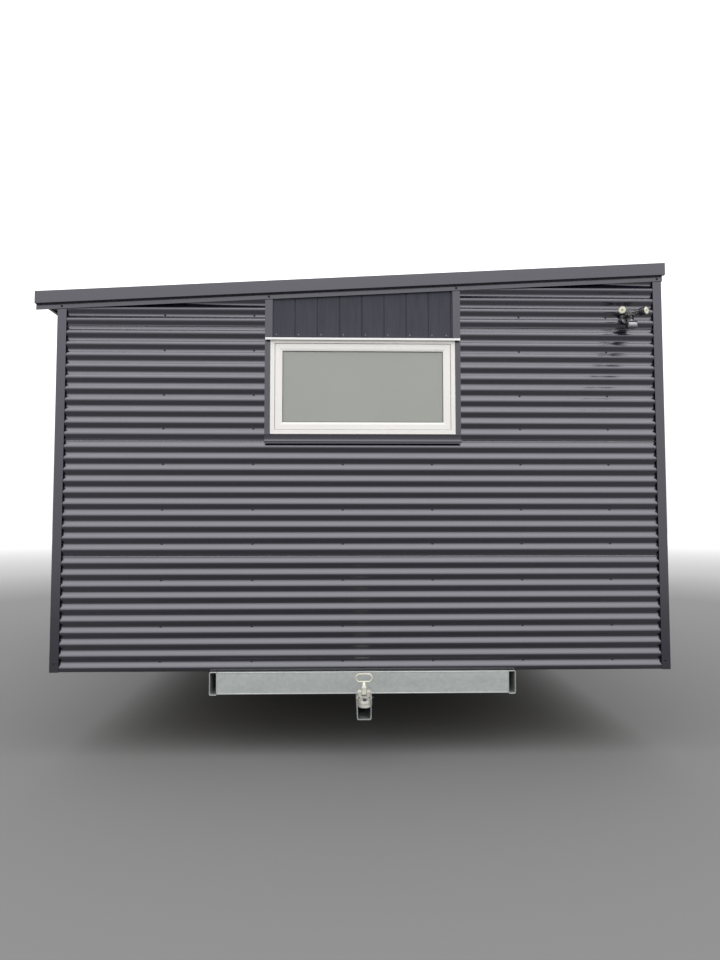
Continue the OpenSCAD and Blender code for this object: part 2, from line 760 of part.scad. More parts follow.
// Half section of a rim: dished disc, drop centre and bead seats with their flanges
module rim_section() {
    well_r = rim_r - 16;
    polygon([[28, -16], [hub_r + 8, -16], [hub_r + 20, 4], [well_r, 4], [well_r, -rim_half + 12],
             [rim_r - 4, -rim_half + 8], [rim_r - 4, -rim_half - 4], [flange_r, -rim_half - 4],
             [flange_r, -rim_half], [rim_r, -rim_half], [rim_r, -rim_half + 30], [rim_r - 8, -rim_half + 40],
             [rim_r - 8, rim_half - 40], [rim_r, rim_half - 30], [rim_r, rim_half], [flange_r, rim_half],
             [flange_r, rim_half + 4], [rim_r - 4, rim_half + 4], [rim_r - 4, rim_half - 8],
             [well_r, rim_half - 12], [well_r, 10], [hub_r + 16, 10], [hub_r + 4, -10], [28, -10]]);
}
module wheel_rims() {
    vents = 8;
    vent_r = 7;
    vent_at = (hub_r + 20 + rim_r - 16) / 2;
    color("lightgray") set_out() for (side = [-1, 1], y = axle_ys)
        translate([side * wheel_x, y, axle_z]) rotate([0, side * 90, 0]) difference() {
            rotate_extrude($fn = 96) rim_section();
            for (i = [0:vents - 1]) rotate([0, 0, i * 360 / vents]) translate([vent_at, 0, 0])
                cylinder(r = vent_r, h = 20);
        }
}
module tyre() {
    half = tyre_w / 2;
    bead = rim_half - seat;
    rotate_extrude($fn = 96) difference() {
        polygon([[rim_r + seat, -bead], [rim_r + seat, bead], [flange_r + 1, bead], [flange_r + 5, bead + 5],
                 [tyre_r - 50, half],
                 [tyre_r - 22, half - 4], [tyre_r - 6, half - 20], [tyre_r, half - 32], [tyre_r, -half + 32],
                 [tyre_r - 6, -half + 20], [tyre_r - 22, -half + 4], [tyre_r - 50, -half],
                 [flange_r + 5, -bead - 5], [flange_r + 1, -bead]]);
        polygon([[rim_r - 5, -bead + 18], [rim_r + 22, -bead + 12], [tyre_r - 40, -half + 12],
                 [tyre_r - 18, -half + 24], [tyre_r - 18, half - 24], [tyre_r - 40, half - 12],
                 [rim_r + 22, bead - 12], [rim_r - 5, bead - 18]]);
        for (s = [-1.5:1:1.5]) translate([tyre_r - 6, s * 38 - 4]) square([10, 8]);
    }
}
module tyres() {
    color("black") set_out() for (side = [-1, 1], y = axle_ys) difference() {
        translate([side * wheel_x, y, axle_z]) rotate([0, 90, 0]) tyre();
        block([side * wheel_x - tyre_w, y - tyre_r, -10], [side * wheel_x + tyre_w, y + tyre_r, 0]);
    }
}

// Coupling frame: the drawbar end's top edge at the origin, y pointing back to the house
module at_coupling() {
    set_out() translate([0, -drawbar_reach, drawbar_z]) children();
}
plate_w = 97;
plate_l = 150;
plate_t = 9;
pivot_y = 46;
pivot_z = 68;
pivot_r = 6;
// The nose's lower rim and the socket's depth up to the ball's middle
nose_z = 8;
cup_h = 24;
ball_z = nose_z + cup_h;
neck_top = 52;
nose_w = 80;
house_top = 96;
cheek_w = 82;
lever_w = 27;
slot_w = lever_w + 2;
slot_floor = pivot_z - 22;
ring_r = pivot_r + 8;
bolt_x = 32;
// Cast body: a domed nose over the ball, a bolted block on the tube, and two cheeks for the lever
module coupling_body() {
    color("gainsboro") at_coupling() difference() {
        union() {
            translate([0, plate_l / 2 - 3, 0]) linear_extrude(plate_t) round_rect(plate_w, plate_l + 6, 10);
            yz_prism([[2, 0], [2, neck_top - 8], [8, neck_top - 2], [96, neck_top + 4], [128, plate_t],
                      [128, 0]], -plate_w / 2, plate_w / 2);
            yz_prism([[28, neck_top - 2], [28, house_top - 8], [36, house_top], [78, house_top - 2],
                      [104, neck_top], [104, neck_top - 2]], -cheek_w / 2, cheek_w / 2);
            intersection() {
                yz_prism([[20, neck_top], [-socket_reach, neck_top + 6], [-socket_reach, nose_z],
                          [nose_r - socket_reach, nose_z], [-12, 0], [20, 0]], -nose_w / 2, nose_w / 2);
                linear_extrude(house_top) polygon([[nose_w / 2, 20], [nose_w / 2, -14],
                    [nose_r - 4, -socket_reach], [4 - nose_r, -socket_reach], [-nose_w / 2, -14],
                    [-nose_w / 2, 20]]);
            }
            translate([0, -socket_reach, nose_z]) cylinder(r = nose_r, h = cup_h);
            intersection() {
                translate([0, -socket_reach, ball_z]) sphere(r = nose_r);
                translate([0, -socket_reach, nose_z]) cylinder(r = nose_r, h = 80);
            }
        }
        block([-slot_w / 2, pivot_y - 20, slot_floor], [slot_w / 2, 92, house_top + 1]);
        translate([0, -socket_reach, ball_z + nose_r - 7]) cylinder(r = 12, h = 20);
        for (s = [-1, 1]) translate([s * bolt_x, 14, neck_top - 20]) cylinder(r = 7, h = 40);
        translate([0, -socket_reach, -1]) cylinder(r = socket_r, h = ball_z + 1);
        translate([0, -socket_reach, ball_z]) sphere(r = socket_r);
    }
    color("gainsboro") at_coupling() rod_x(-cheek_w / 2 - 4, cheek_w / 2 + 4, pivot_r, pivot_y, pivot_z);
}
// Lift handle: a flat lever on the cross pin, a narrower neck and an upright loop of round rod
loop_y = 62;
loop_z = 125;
neck_w = 16;
lever_top = 108;
module rod_x(x0, x1, r, y = 0, z = 0) {
    translate([x0, y, z]) rotate([0, 90, 0]) cylinder(r = r, h = x1 - x0);
}
module coupling_handle() {
    rod_r = loop_rod / 2;
    arc_r = loop_h / 2 - rod_r;
    straight = loop_w / 2 - loop_h / 2;
    color("gainsboro") at_coupling() {
        difference() {
            union() {
                rod_x(-lever_w / 2, lever_w / 2, ring_r, pivot_y, pivot_z);
                yz_prism([[pivot_y - ring_r, pivot_z - 10], [pivot_y + ring_r - 4, pivot_z - 6],
                          [pivot_y + 10, lever_top - 6], [pivot_y, lever_top], [pivot_y - 12, lever_top - 8]],
                         -lever_w / 2, lever_w / 2);
                yz_prism([[pivot_y, lever_top - 2], [pivot_y + 10, lever_top - 8], [loop_y + 4, loop_z - 2],
                          [loop_y + 4, loop_z + rod_r], [loop_y - 4, loop_z + rod_r]],
                         -neck_w / 2, neck_w / 2);
            }
            rod_x(-40, 40, pivot_r + play, pivot_y, pivot_z);
        }
        translate([0, loop_y, loop_z + rod_r]) {
            rod_x(-straight, straight, rod_r);
            rod_x(-straight, straight, rod_r, 0, 2 * arc_r);
            for (s = [-1, 1]) translate([s * straight, 0, arc_r]) rotate([90, 0, 0])
                rotate([0, 0, s * 90 - 180]) rotate_extrude(angle = 180)
                    translate([arc_r, 0]) circle(r = rod_r);
        }
    }
}

// Security light frame: its base on the cladding's crests, y pointing into the wall
module at_light() {
    set_out() translate([house_w / 2 - light_in, steel_t, clad_z + light_rise]) children();
}
knuckle_x = 50;
knuckle_v = -64;
sensor_x = 8;
// Height of the sensor's middle under the lamps
sensor_drop = -83;
module light_base() {
    color("black") at_light() {
        translate([0, 0, -20]) rotate([90, 0, 0]) cylinder(r = 45, h = 26);
        block([-12, -70, -20], [12, -20, 4]);
        for (s = [-1, 1]) {
            block([s < 0 ? -knuckle_x : 0, knuckle_v - 8, -14], [s < 0 ? 0 : knuckle_x, knuckle_v + 8, -8]);
            translate([s * knuckle_x, knuckle_v, -14]) cylinder(r = 8, h = 6);
            translate([s * knuckle_x, knuckle_v, -14]) cylinder(r = 4, h = 26);
        }
        translate([sensor_x, knuckle_v, sensor_drop + 8]) cylinder(r = 5, h = -sensor_drop - 20);
    }
}
// Lamp head: a lug on the upright pin and a finned barrel with a lens, turned by yaw
module lamp(yaw) {
    r = lamp_d / 2;
    rotate([0, 0, yaw]) difference() {
        union() {
            translate([0, 0, -8 + seat]) cylinder(r = 9, h = 16);
            rotate([90, 0, 0]) {
                cylinder(r = 6, h = 20);
                translate([0, 0, 15]) cylinder(r1 = 12, r2 = r - 3, h = 10);
                translate([0, 0, 24]) cylinder(r = r - 3, h = lamp_l - 24);
                for (i = [0:3]) translate([0, 0, 28 + i * 7]) cylinder(r = r - 1, h = 3);
                translate([0, 0, lamp_l - 14]) cylinder(r = r, h = 14);
            }
        }
        translate([0, 0, -30]) cylinder(r = 4 + play, h = 60);
        rotate([90, 0, 0]) translate([0, 0, lamp_l - 3]) cylinder(r = r - 4, h = 10);
    }
}
lamp_left_yaw = -22;
lamp_right_yaw = 31;
module lamp_left() {
    color("black") at_light() translate([-knuckle_x, knuckle_v, 0]) lamp(lamp_left_yaw);
}
module lamp_right() {
    color("black") at_light() translate([knuckle_x, knuckle_v, 0]) lamp(lamp_right_yaw);
}
module motion_sensor() {
    color("black") at_light() translate([sensor_x, knuckle_v, sensor_drop]) difference() {
        union() {
            block([-30, -20, -20], [30, 18, 20]);
            translate([-26, -20, 0]) rotate([0, 90, 0]) cylinder(r = 14, h = 52);
            translate([0, 0, 18]) cylinder(r = 12, h = 14);
        }
        translate([0, 0, 7]) cylinder(r = 5 + play, h = 60);
    }
}
module wall_light() {
    color("gray") on_left() translate([entry_light_at, steel_t, clad_z + entry_light_rise])
        rotate([90, 0, 0]) {
            cylinder(r = 45, h = 18);
            cylinder(r = 34, h = 62);
        }
}

floor_frame();
floor_panel();
front_wall();
rear_wall();
left_wall();
right_wall();
roof_panel();
front_cladding();
rear_cladding();
left_cladding();
right_cladding();
corner_flashings();
roof_sheets();
front_barge();
rear_barge();
barge_strips();
eave_fascia();
eave_soffit();
high_fascia();
window_frames();
window_sashes();
window_glass();
head_flashings();
opening_trims();
sill_flashings();
grooved_panels();
door_frame();
door_leaves();
door_glass();
entrance_handle();
chassis_rails();
front_channel();
cross_members();
outriggers();
drawbar();
axles();
leaf_springs();
spring_hangers();
wheel_rims();
tyres();
coupling_body();
coupling_handle();
light_base();
lamp_left();
lamp_right();
motion_sensor();
wall_light();
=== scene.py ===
# %% [markdown]
# # A tiny house on wheels
# The real thing is a framed cabin on a galvanised trailer chassis, clad in dark corrugated steel
# with its ribs laid level. The construction is loaded first as a fixed frame in metres: every
# piece below sits in that frame, so nothing needs to be fitted by eye.

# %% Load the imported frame
import math

import bmesh
import bpy
from mathutils import Matrix, Vector


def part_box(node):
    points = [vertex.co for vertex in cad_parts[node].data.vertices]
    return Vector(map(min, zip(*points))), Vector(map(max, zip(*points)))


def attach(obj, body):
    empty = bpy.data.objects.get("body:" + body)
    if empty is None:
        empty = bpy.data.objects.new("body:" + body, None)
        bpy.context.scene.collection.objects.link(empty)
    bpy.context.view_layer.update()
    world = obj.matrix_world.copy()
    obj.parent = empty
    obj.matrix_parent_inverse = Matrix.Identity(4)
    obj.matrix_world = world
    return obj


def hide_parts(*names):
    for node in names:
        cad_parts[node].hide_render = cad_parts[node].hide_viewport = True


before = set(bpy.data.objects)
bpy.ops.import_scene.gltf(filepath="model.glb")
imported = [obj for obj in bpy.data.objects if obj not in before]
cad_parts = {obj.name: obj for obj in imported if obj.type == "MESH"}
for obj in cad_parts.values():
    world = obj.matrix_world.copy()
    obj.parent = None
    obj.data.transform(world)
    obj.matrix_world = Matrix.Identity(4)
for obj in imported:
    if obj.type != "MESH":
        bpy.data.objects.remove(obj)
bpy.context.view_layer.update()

# %% [markdown]
# ## The house's own measures
# The corner flashings mark the cabin's four corners, so their box gives the width, the length
# and the foot of the cladding. The roof falls to the left at a constant slope, which one small
# function turns into a height at any place across the house.

# %% House measures
corner_lo, corner_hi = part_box("corner_flashings")
HOUSE_W = corner_hi.x - corner_lo.x
HOUSE_L = corner_hi.y - corner_lo.y
HOUSE_X = (corner_lo.x + corner_hi.x) / 2
HOUSE_Y = corner_lo.y
CLAD_Z = corner_lo.z
ROOF_FALL = math.radians(3.05)
ROOF_RISE = 2.626
STEEL_T = 0.002
SEAT = 0.0003


def roof_z(x):
    """Height of the roof line at a distance x from the middle of the house."""
    return CLAD_Z + ROOF_RISE + x * math.tan(ROOF_FALL)


print(f"cabin {HOUSE_W:.3f} x {HOUSE_L:.3f} m, cladding from z {CLAD_Z:.3f}")

# %% [markdown]
# ## Camera
# The picture is taken from in front of the hitch end, standing a little left of the middle with
# the camera at eye height and tipped up by three degrees. A 26 mm lens on a 36 mm frame gives
# the same perspective, and no shift is needed.

# %% Camera
LENS_MM = 25.875
EYE_LEFT = 0.130
EYE_BACK = 4.587
EYE_Z = 1.546
YAW, PITCH, ROLL = math.radians(1.37), math.radians(3.167), math.radians(-0.036)

camera_data = bpy.data.cameras.new("camera")
camera_data.lens = LENS_MM
camera_data.sensor_width = 36
camera_data.clip_end = 200
camera = bpy.data.objects.new("camera", camera_data)
camera.location = (HOUSE_X - EYE_LEFT, HOUSE_Y - EYE_BACK, EYE_Z)
camera.rotation_euler = (
    Matrix.Rotation(-YAW, 3, "Z") @ Matrix.Rotation(math.pi / 2 + PITCH, 3, "X")
    @ Matrix.Rotation(ROLL, 3, "Z")
).to_euler()
bpy.context.scene.collection.objects.link(camera)
bpy.context.scene.camera = camera
print("camera at", [round(v, 3) for v in camera.location])

# %% [markdown]
# ## Node helpers
# Every finish here, and the sky too, is a small tree of shader nodes. Each node would take several
# lines to add and to join up, so three short helpers do that: one empties a tree, one adds a node
# with its inputs filled or joined, and one maps a value to a range.

# %% Node helpers
def new_tree(owner):
    """The owner's node tree, emptied."""
    owner.use_nodes = True
    owner.node_tree.nodes.clear()
    return owner.node_tree


def add_node(tree, kind, inputs=(), **settings):
    """A node of that kind. Inputs are (socket, value or another node's output)."""
    node = tree.nodes.new(kind)
    for key, value in settings.items():
        setattr(node, key, value)
    for socket, value in inputs:
        if isinstance(value, bpy.types.NodeSocket):
            tree.links.new(value, node.inputs[socket])
        else:
            node.inputs[socket].default_value = value
    return node


def span(tree, value, low, high, from_low=0.3, from_high=0.7):
    """The value mapped to a range."""
    return add_node(tree, "ShaderNodeMapRange", [
        ("Value", value), ("From Min", from_low), ("From Max", from_high),
        ("To Min", low), ("To Max", high)]).outputs[0]


print("node helpers ready")

# %% [markdown]
# ## Studio
# Painted corrugated steel is a mirror with a dark tint: its upper slopes show what is overhead and
# its lower slopes show the ground. So the light is one plain soft dome, white at the horizon and
# almost three times as bright overhead, like a big softbox over the set, and a grey floor that
# gives little light back. The dome is a Background whose strength rises with the height of the
# direction; the same sky is behind the house, in its glass and in its paint.

# %% Studio
bpy.context.scene.view_settings.view_transform = "Standard"
SKY_LOW, SKY_TOP = 1.0, 2.75
world = bpy.data.worlds.new("sky")
bpy.context.scene.world = world
tree = new_tree(world)
direction = add_node(tree, "ShaderNodeTexCoord").outputs["Generated"]
height = add_node(tree, "ShaderNodeSeparateXYZ", [(0, direction)]).outputs["Z"]
dome = add_node(tree, "ShaderNodeBackground", [
    ("Color", (1, 1, 1, 1)), ("Strength", span(tree, height, SKY_LOW, SKY_TOP, 0.0, 1.0))])
add_node(tree, "ShaderNodeOutputWorld", [("Surface", dome.outputs[0])])
print("dome from", SKY_LOW, "at the horizon to", SKY_TOP, "overhead")

# %% [markdown]
# ### Floor
# One large flat sheet, grey round the house and paler far away, where it meets the dome, so that
# no hard line shows behind the house. A colour ramp follows the distance from the floor's middle,
# which lies under the house.

# %% Floor
FLOOR_R, NEAR, FAR = 60.0, 8.0, 40.0
FLOOR_TONES = [(0.0, 0.155), (0.2, 0.27), (1.0, 0.55)]


def ramp(tree, factor, stops):
    """A colour ramp; stops are (position, colour)."""
    node = add_node(tree, "ShaderNodeValToRGB", [("Fac", factor)])
    while len(node.color_ramp.elements) < len(stops):
        node.color_ramp.elements.new(0.5)
    for element, (position, colour) in zip(node.color_ramp.elements, stops):
        element.position = position
        element.color = (*colour, 1)
    return node.outputs["Color"]


floor_corners = [(x * FLOOR_R, y * FLOOR_R, 0) for x, y in ((-1, -1), (1, -1), (1, 1), (-1, 1))]
floor_mesh = bpy.data.meshes.new("studio_floor")
floor_mesh.from_pydata(floor_corners, [], [(0, 1, 2, 3)])
floor = bpy.data.objects.new("studio_floor", floor_mesh)
bpy.context.scene.collection.objects.link(floor)
floor_finish = bpy.data.materials.new("floor_pale")
tree = new_tree(floor_finish)
spot = add_node(tree, "ShaderNodeTexCoord").outputs["Object"]
away = add_node(tree, "ShaderNodeVectorMath", [(0, spot)], operation="LENGTH").outputs["Value"]
pale = ramp(tree, span(tree, away, 0.0, 1.0, NEAR, FAR),
            [(place, (tone,) * 3) for place, tone in FLOOR_TONES])
matt = add_node(tree, "ShaderNodeBsdfDiffuse", [("Color", pale)])
add_node(tree, "ShaderNodeOutputMaterial", [("Surface", matt.outputs[0])])
floor_mesh.materials.append(floor_finish)
print("floor laid,", 2 * FLOOR_R, "m across")

# %% [markdown]
# ## Finishes
# Every finish is built from noise in the object's own coordinates: one layer shifts the colour,
# one the roughness and one the surface itself. A painted sheet, a weathered board and a
# galvanised rail differ only in the scale and strength of those layers, so one helper makes
# them all and each finish adds what is special to it.

# %% Finish helper
SHEEN_FINER = 2.7


def shade(colour, factor):
    """The colour made lighter or darker."""
    return tuple(min(1.0, c * factor) for c in colour)


def noise(tree, where, scale, detail=4.0, rough=0.55, stretch=(1, 1, 1)):
    """A noise value in the object's own coordinates."""
    spread = add_node(tree, "ShaderNodeMapping", [("Vector", where), ("Scale", stretch)])
    return add_node(tree, "ShaderNodeTexNoise", [
        ("Vector", spread.outputs[0]), ("Scale", scale), ("Detail", detail),
        ("Roughness", rough)]).outputs["Fac"]


def layered(name, colour, rough, spread=0.08, rough_spread=0.06, scale=6.0, stretch=(1, 1, 1),
            bump=0.0002, bump_scale=60.0, bump_stretch=(1, 1, 1), strength=0.5, **constants):
    """A finish with its colour, roughness and bump layers, and the nodes that others join."""
    material = bpy.data.materials.new(name)
    tree = new_tree(material)
    where = add_node(tree, "ShaderNodeTexCoord").outputs["Object"]
    tint = ramp(tree, noise(tree, where, scale, stretch=stretch),
                [(0.3, shade(colour, 1 - spread)), (0.7, shade(colour, 1 + spread))])
    sheen = span(tree, noise(tree, where, scale * SHEEN_FINER, stretch=stretch),
                 rough - rough_spread, rough + rough_spread)
    grain = noise(tree, where, bump_scale, stretch=bump_stretch)
    raised = add_node(tree, "ShaderNodeBump", [
        ("Height", grain), ("Strength", strength), ("Distance", bump)])
    shader = add_node(tree, "ShaderNodeBsdfPrincipled", [
        ("Base Color", tint), ("Roughness", sheen), ("Normal", raised.outputs[0])])
    for socket, value in constants.items():
        shader.inputs[socket.replace("_", " ")].default_value = value
    add_node(tree, "ShaderNodeOutputMaterial", [("Surface", shader.outputs[0])])
    return material, tree, shader, raised, where


def finish(*recipe, **layers):
    """A finish to which nothing is added."""
    return layered(*recipe, **layers)[0]


print("finish helper ready")

# %% [markdown]
# ### Painted steel
# The cladding and its flashings share one charcoal paint with a low sheen. Thin sheet is never
# quite flat: it shows slow, shallow waves between its fixings, so a broad noise is added to the
# bump. Dust settles low down and fades out upwards. The rolled sheet mirrors the sky most, the
# folded flashings a little less and the screw heads least, which the index of refraction sets.

# %% Painted steel
CHARCOAL = (0.0088, 0.0076, 0.0138)
DUST = (0.17, 0.155, 0.14, 1)
DUST_SHARE, DUST_RISE = 0.02, 0.8
MIX_FIRST, MIX_SECOND, MIX_RESULT = 6, 7, 2


def painted_steel(name, gloss):
    """Charcoal paint on thin sheet. gloss is the index of refraction: a higher one mirrors more."""
    paint, tree, shader, raised, where = layered(
        name, CHARCOAL, 0.20, spread=0.10, rough_spread=0.03, scale=1.6, bump=0.0001,
        bump_scale=240, strength=0.15, IOR=gloss, Specular_Tint=(0.93, 0.92, 1.0, 1.0))
    broad = noise(tree, where, 1.3, detail=2.0, stretch=(0.35, 0.35, 2.0))
    waves = add_node(tree, "ShaderNodeBump", [
        ("Height", broad), ("Strength", 0.2), ("Distance", 0.003), ("Normal", raised.outputs[0])])
    tree.links.new(waves.outputs[0], shader.inputs["Normal"])
    dust_height = add_node(tree, "ShaderNodeSeparateXYZ", [(0, where)]).outputs["Z"]
    low_down = span(tree, dust_height, DUST_SHARE, 0.0, CLAD_Z, CLAD_Z + DUST_RISE)
    speckle = noise(tree, where, 9.0, detail=6.0, stretch=(1, 1, 0.4))
    dusty = add_node(tree, "ShaderNodeMath", [(0, low_down), (1, span(tree, speckle, 0.25, 1.0))],
                     operation="MULTIPLY")
    base = shader.inputs["Base Color"].links[0].from_socket
    with_dust = add_node(tree, "ShaderNodeMix", [
        ("Factor", dusty.outputs[0]), (MIX_FIRST, base), (MIX_SECOND, DUST)], data_type="RGBA")
    tree.links.new(with_dust.outputs[MIX_RESULT], shader.inputs["Base Color"])
    return paint


charcoal = painted_steel("charcoal_sheet", 2.05)
flashing_paint = painted_steel("charcoal_flashing", 1.90)
screw_paint = painted_steel("charcoal_screw", 1.45)
print("painted steel ready")

# %% [markdown]
# ### Other metals
# Hot-dip zinc on the chassis is a soft grey with crystals about 15 mm wide, so flat cells of a
# Voronoi pattern shift its tone a little. The coupling is zinc plated over a rough sand casting,
# the springs are black from the oven, and the rims are painted silver.

# %% Other metals
galvanised, tree, shader, _, where = layered(
    "galvanised", (0.47, 0.495, 0.487), 0.45, spread=0.05, scale=4.0, stretch=(0.5, 1, 3),
    bump=0.0004, bump_scale=60, bump_stretch=(0.3, 1, 3), strength=0.3, Metallic=0.55)
flakes = add_node(tree, "ShaderNodeTexVoronoi", [("Vector", where), ("Scale", 55.0)])
flake = add_node(tree, "ShaderNodeSeparateXYZ", [(0, flakes.outputs["Color"])]).outputs["X"]
flake_tone = span(tree, flake, 0.93, 1.04, 0.0, 1.0)
base = shader.inputs["Base Color"].links[0].from_socket
toned = add_node(tree, "ShaderNodeVectorMath", [(0, base), (1, flake_tone)], operation="MULTIPLY")
tree.links.new(toned.outputs[0], shader.inputs["Base Color"])

cast_zinc = finish("cast_zinc", (0.36, 0.357, 0.325), 0.40, spread=0.14, scale=28, bump=0.0004,
                   bump_scale=300, Metallic=0.35)
lever_zinc = finish("lever_zinc", (0.60, 0.59, 0.50), 0.34, scale=28, bump_scale=300,
                    strength=0.4, Metallic=0.35)
bolt_zinc = finish("bolt_zinc", (0.55, 0.55, 0.52), 0.32, spread=0.12, scale=60, bump=0.0001,
                   bump_scale=400, Metallic=0.9)
nail_grey = finish("nail_grey", (0.24, 0.24, 0.25), 0.5, spread=0.2, scale=60, bump=0.0001,
                   bump_scale=400)
spring_black = finish("spring_black", (0.045, 0.043, 0.042), 0.55, spread=0.25, scale=18,
                      bump=0.0004, bump_scale=90, Metallic=0.3)
rim_silver = finish("rim_silver", (0.56, 0.57, 0.58), 0.36, spread=0.06, scale=12,
                    bump_scale=180, Metallic=0.6)
spacer_alloy = finish("spacer_alloy", (0.62, 0.62, 0.62), 0.38, spread=0.05, scale=40,
                      bump=0.0001, Metallic=0.8)
print("metals ready")

# %% [markdown]
# ### Joinery, timber, rubber and plastics
# The window bars are warm white extrusions with a soft gloss. Boards get a long grain by
# stretching the noise along their length. Moulded plastics have a fine, even texture.

# %% Joinery, timber, rubber, plastics
white_upvc = finish("white_joinery", (0.758, 0.738, 0.710), 0.30, spread=0.025, scale=3.0,
                    bump=0.0001, bump_scale=160, strength=0.2, Coat_Weight=0.15,
                    Coat_Roughness=0.2)
white_flash = finish("white_flashing", (0.78, 0.78, 0.76), 0.34, spread=0.02, scale=3.0,
                     bump=0.0001, strength=0.2)
board_stain = finish("board_stain", (0.023, 0.023, 0.039), 0.62, spread=0.22, scale=9.0,
                     stretch=(3, 3, 0.25), bump=0.0012, bump_scale=38, bump_stretch=(3, 3, 0.12))
rubber_black = finish("gasket_rubber", (0.025, 0.025, 0.026), 0.62, spread=0.15, scale=40)
tyre_rubber = finish("tyre_rubber", (0.030, 0.030, 0.030), 0.72, spread=0.25, scale=14,
                     bump=0.0006, bump_scale=120)
black_plastic = finish("black_plastic", (0.010, 0.010, 0.013), 0.24, spread=0.12, scale=30,
                       bump_scale=420, strength=0.25, IOR=1.95)
grey_metal = finish("grey_metal", (0.34, 0.35, 0.36), 0.40, spread=0.06, scale=20,
                    bump_scale=200, Metallic=0.4)
framing_pine = finish("framing_pine", (0.52, 0.44, 0.27), 0.68, spread=0.22, scale=7.0,
                      stretch=(0.35, 3, 3), bump=0.0010, bump_scale=34, bump_stretch=(0.15, 3, 3))
floor_oak = finish("floor_oak", (0.42, 0.29, 0.17), 0.45, spread=0.22, scale=7.0,
                   stretch=(3, 0.3, 3), bump=0.0006, bump_scale=30, bump_stretch=(4, 0.15, 3))
lens_cream = finish("lens_cream", (0.62, 0.62, 0.50), 0.22, spread=0.03, scale=40, bump=0.0001,
                    bump_scale=300)
lens_frosted = finish("lens_frosted", (0.48, 0.48, 0.53), 0.30, spread=0.05, scale=60,
                      bump=0.0003, bump_scale=260)
chip_amber = finish("chip_amber", (0.26, 0.23, 0.12), 0.40, spread=0.10, scale=90, bump=0.0001)
lining_white = finish("lining_white", (0.74, 0.735, 0.71), 0.55, spread=0.03, scale=2.0,
                      bump=0.0004, bump_scale=120)
soffit_black = finish("soffit_black", (0.030, 0.030, 0.033), 0.6, spread=0.15, scale=8,
                      bump=0.0003)
print("finishes:", len(bpy.data.materials))

# %% [markdown]
# ### Glass
# Each sealed unit is two panes, and the room behind is in shade, so from outside the glass shows
# mostly the sky. The grey-green colour with partial cover is a painted reflection of that sky,
# which still lets the frame behind show through. Float glass is not perfectly flat: one very slow
# wave bends the mirror.

# %% Glass
# The glass's grey-green colour is a painted reflection of the sky, not the tint of the glass.
glass_painted_sky = finish("window_glass", (0.415, 0.427, 0.393), 0.06, spread=0.03, rough_spread=0.02,
                     scale=1.2, bump=0.0005, bump_scale=1.5, strength=0.1, Alpha=0.62, IOR=1.6)
print("glass ready")

# %% [markdown]
# ## Dress the frame
# Most of the construction already has its true shape, so each node takes its finish here. One
# list pairs every finish with the nodes that are made of it on the real house.

# %% Dress the frame
DRESS = [
    (charcoal, ["front_cladding", "rear_cladding", "left_cladding", "right_cladding",
                "roof_sheets"]),
    (flashing_paint, ["corner_flashings", "front_barge", "rear_barge", "barge_strips",
                      "eave_fascia", "high_fascia", "opening_trims", "sill_flashings"]),
    (framing_pine, ["floor_frame"]),
    (floor_oak, ["floor_panel"]),
    (lining_white, ["front_wall", "rear_wall", "left_wall", "right_wall", "roof_panel"]),
    (soffit_black, ["eave_soffit"]),
    (white_upvc, ["window_frames", "window_sashes", "door_frame", "door_leaves"]),
    (white_flash, ["head_flashings"]),
    (glass_painted_sky, ["window_glass", "door_glass"]),
    (board_stain, ["grooved_panels"]),
    (galvanised, ["chassis_rails", "front_channel", "cross_members", "outriggers", "drawbar",
                  "axles", "spring_hangers"]),
    (spring_black, ["leaf_springs"]),
    (rim_silver, ["wheel_rims"]),
    (tyre_rubber, ["tyres"]),
    (cast_zinc, ["coupling_body"]),
    (lever_zinc, ["coupling_handle"]),
    (black_plastic, ["light_base", "lamp_left", "lamp_right", "motion_sensor"]),
    (grey_metal, ["wall_light", "entrance_handle"]),
]
for material, nodes in DRESS:
    for node in nodes:
        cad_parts[node].data.materials.clear()
        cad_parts[node].data.materials.append(material)
print("dressed", sum(len(nodes) for _, nodes in DRESS), "nodes")

# %% [markdown]
# ### Soft edges
# A narrow bevel breaks the hard edges: folded steel and sawn timber never end in a perfect corner,
# and the thin highlight that a bevel catches is what makes an edge look real. The solids come with
# separate faces, so a Weld modifier joins them first.

# %% Soft edges
SOFT_EDGES = {
    "corner_flashings": 0.0015, "front_barge": 0.0015, "rear_barge": 0.0015,
    "barge_strips": 0.001, "high_fascia": 0.0015, "eave_fascia": 0.0015,
    "head_flashings": 0.001, "opening_trims": 0.0006, "chassis_rails": 0.0022,
    "drawbar": 0.0022, "front_channel": 0.0016, "cross_members": 0.002, "floor_frame": 0.0015,
    "coupling_handle": 0.001,
}
WELD_REACH = 0.00002


def add_bevel(piece, width, segments=2, sharp=40.0):
    """A narrow rounded bevel on the piece's hard edges."""
    bevel = piece.modifiers.new("bevel", "BEVEL")
    bevel.width = width
    bevel.segments = segments
    bevel.limit_method = "ANGLE"
    bevel.angle_limit = math.radians(sharp)
    bevel.harden_normals = True


for node, width in SOFT_EDGES.items():
    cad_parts[node].modifiers.new("weld", "WELD").merge_threshold = WELD_REACH
    add_bevel(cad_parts[node], width)
print("softened", len(SOFT_EDGES), "nodes")

# %% [markdown]
# ## Directions of the walls
# Each wall is built as if it were the front one: u runs along the wall, v goes inwards from the
# corner flashing's face, z is up. One matrix for each wall then puts its shapes in place, so a
# window or a screw is described once for all four sides. The left wall's is a mirror image, so
# that u runs back from the hitch end on both long sides.

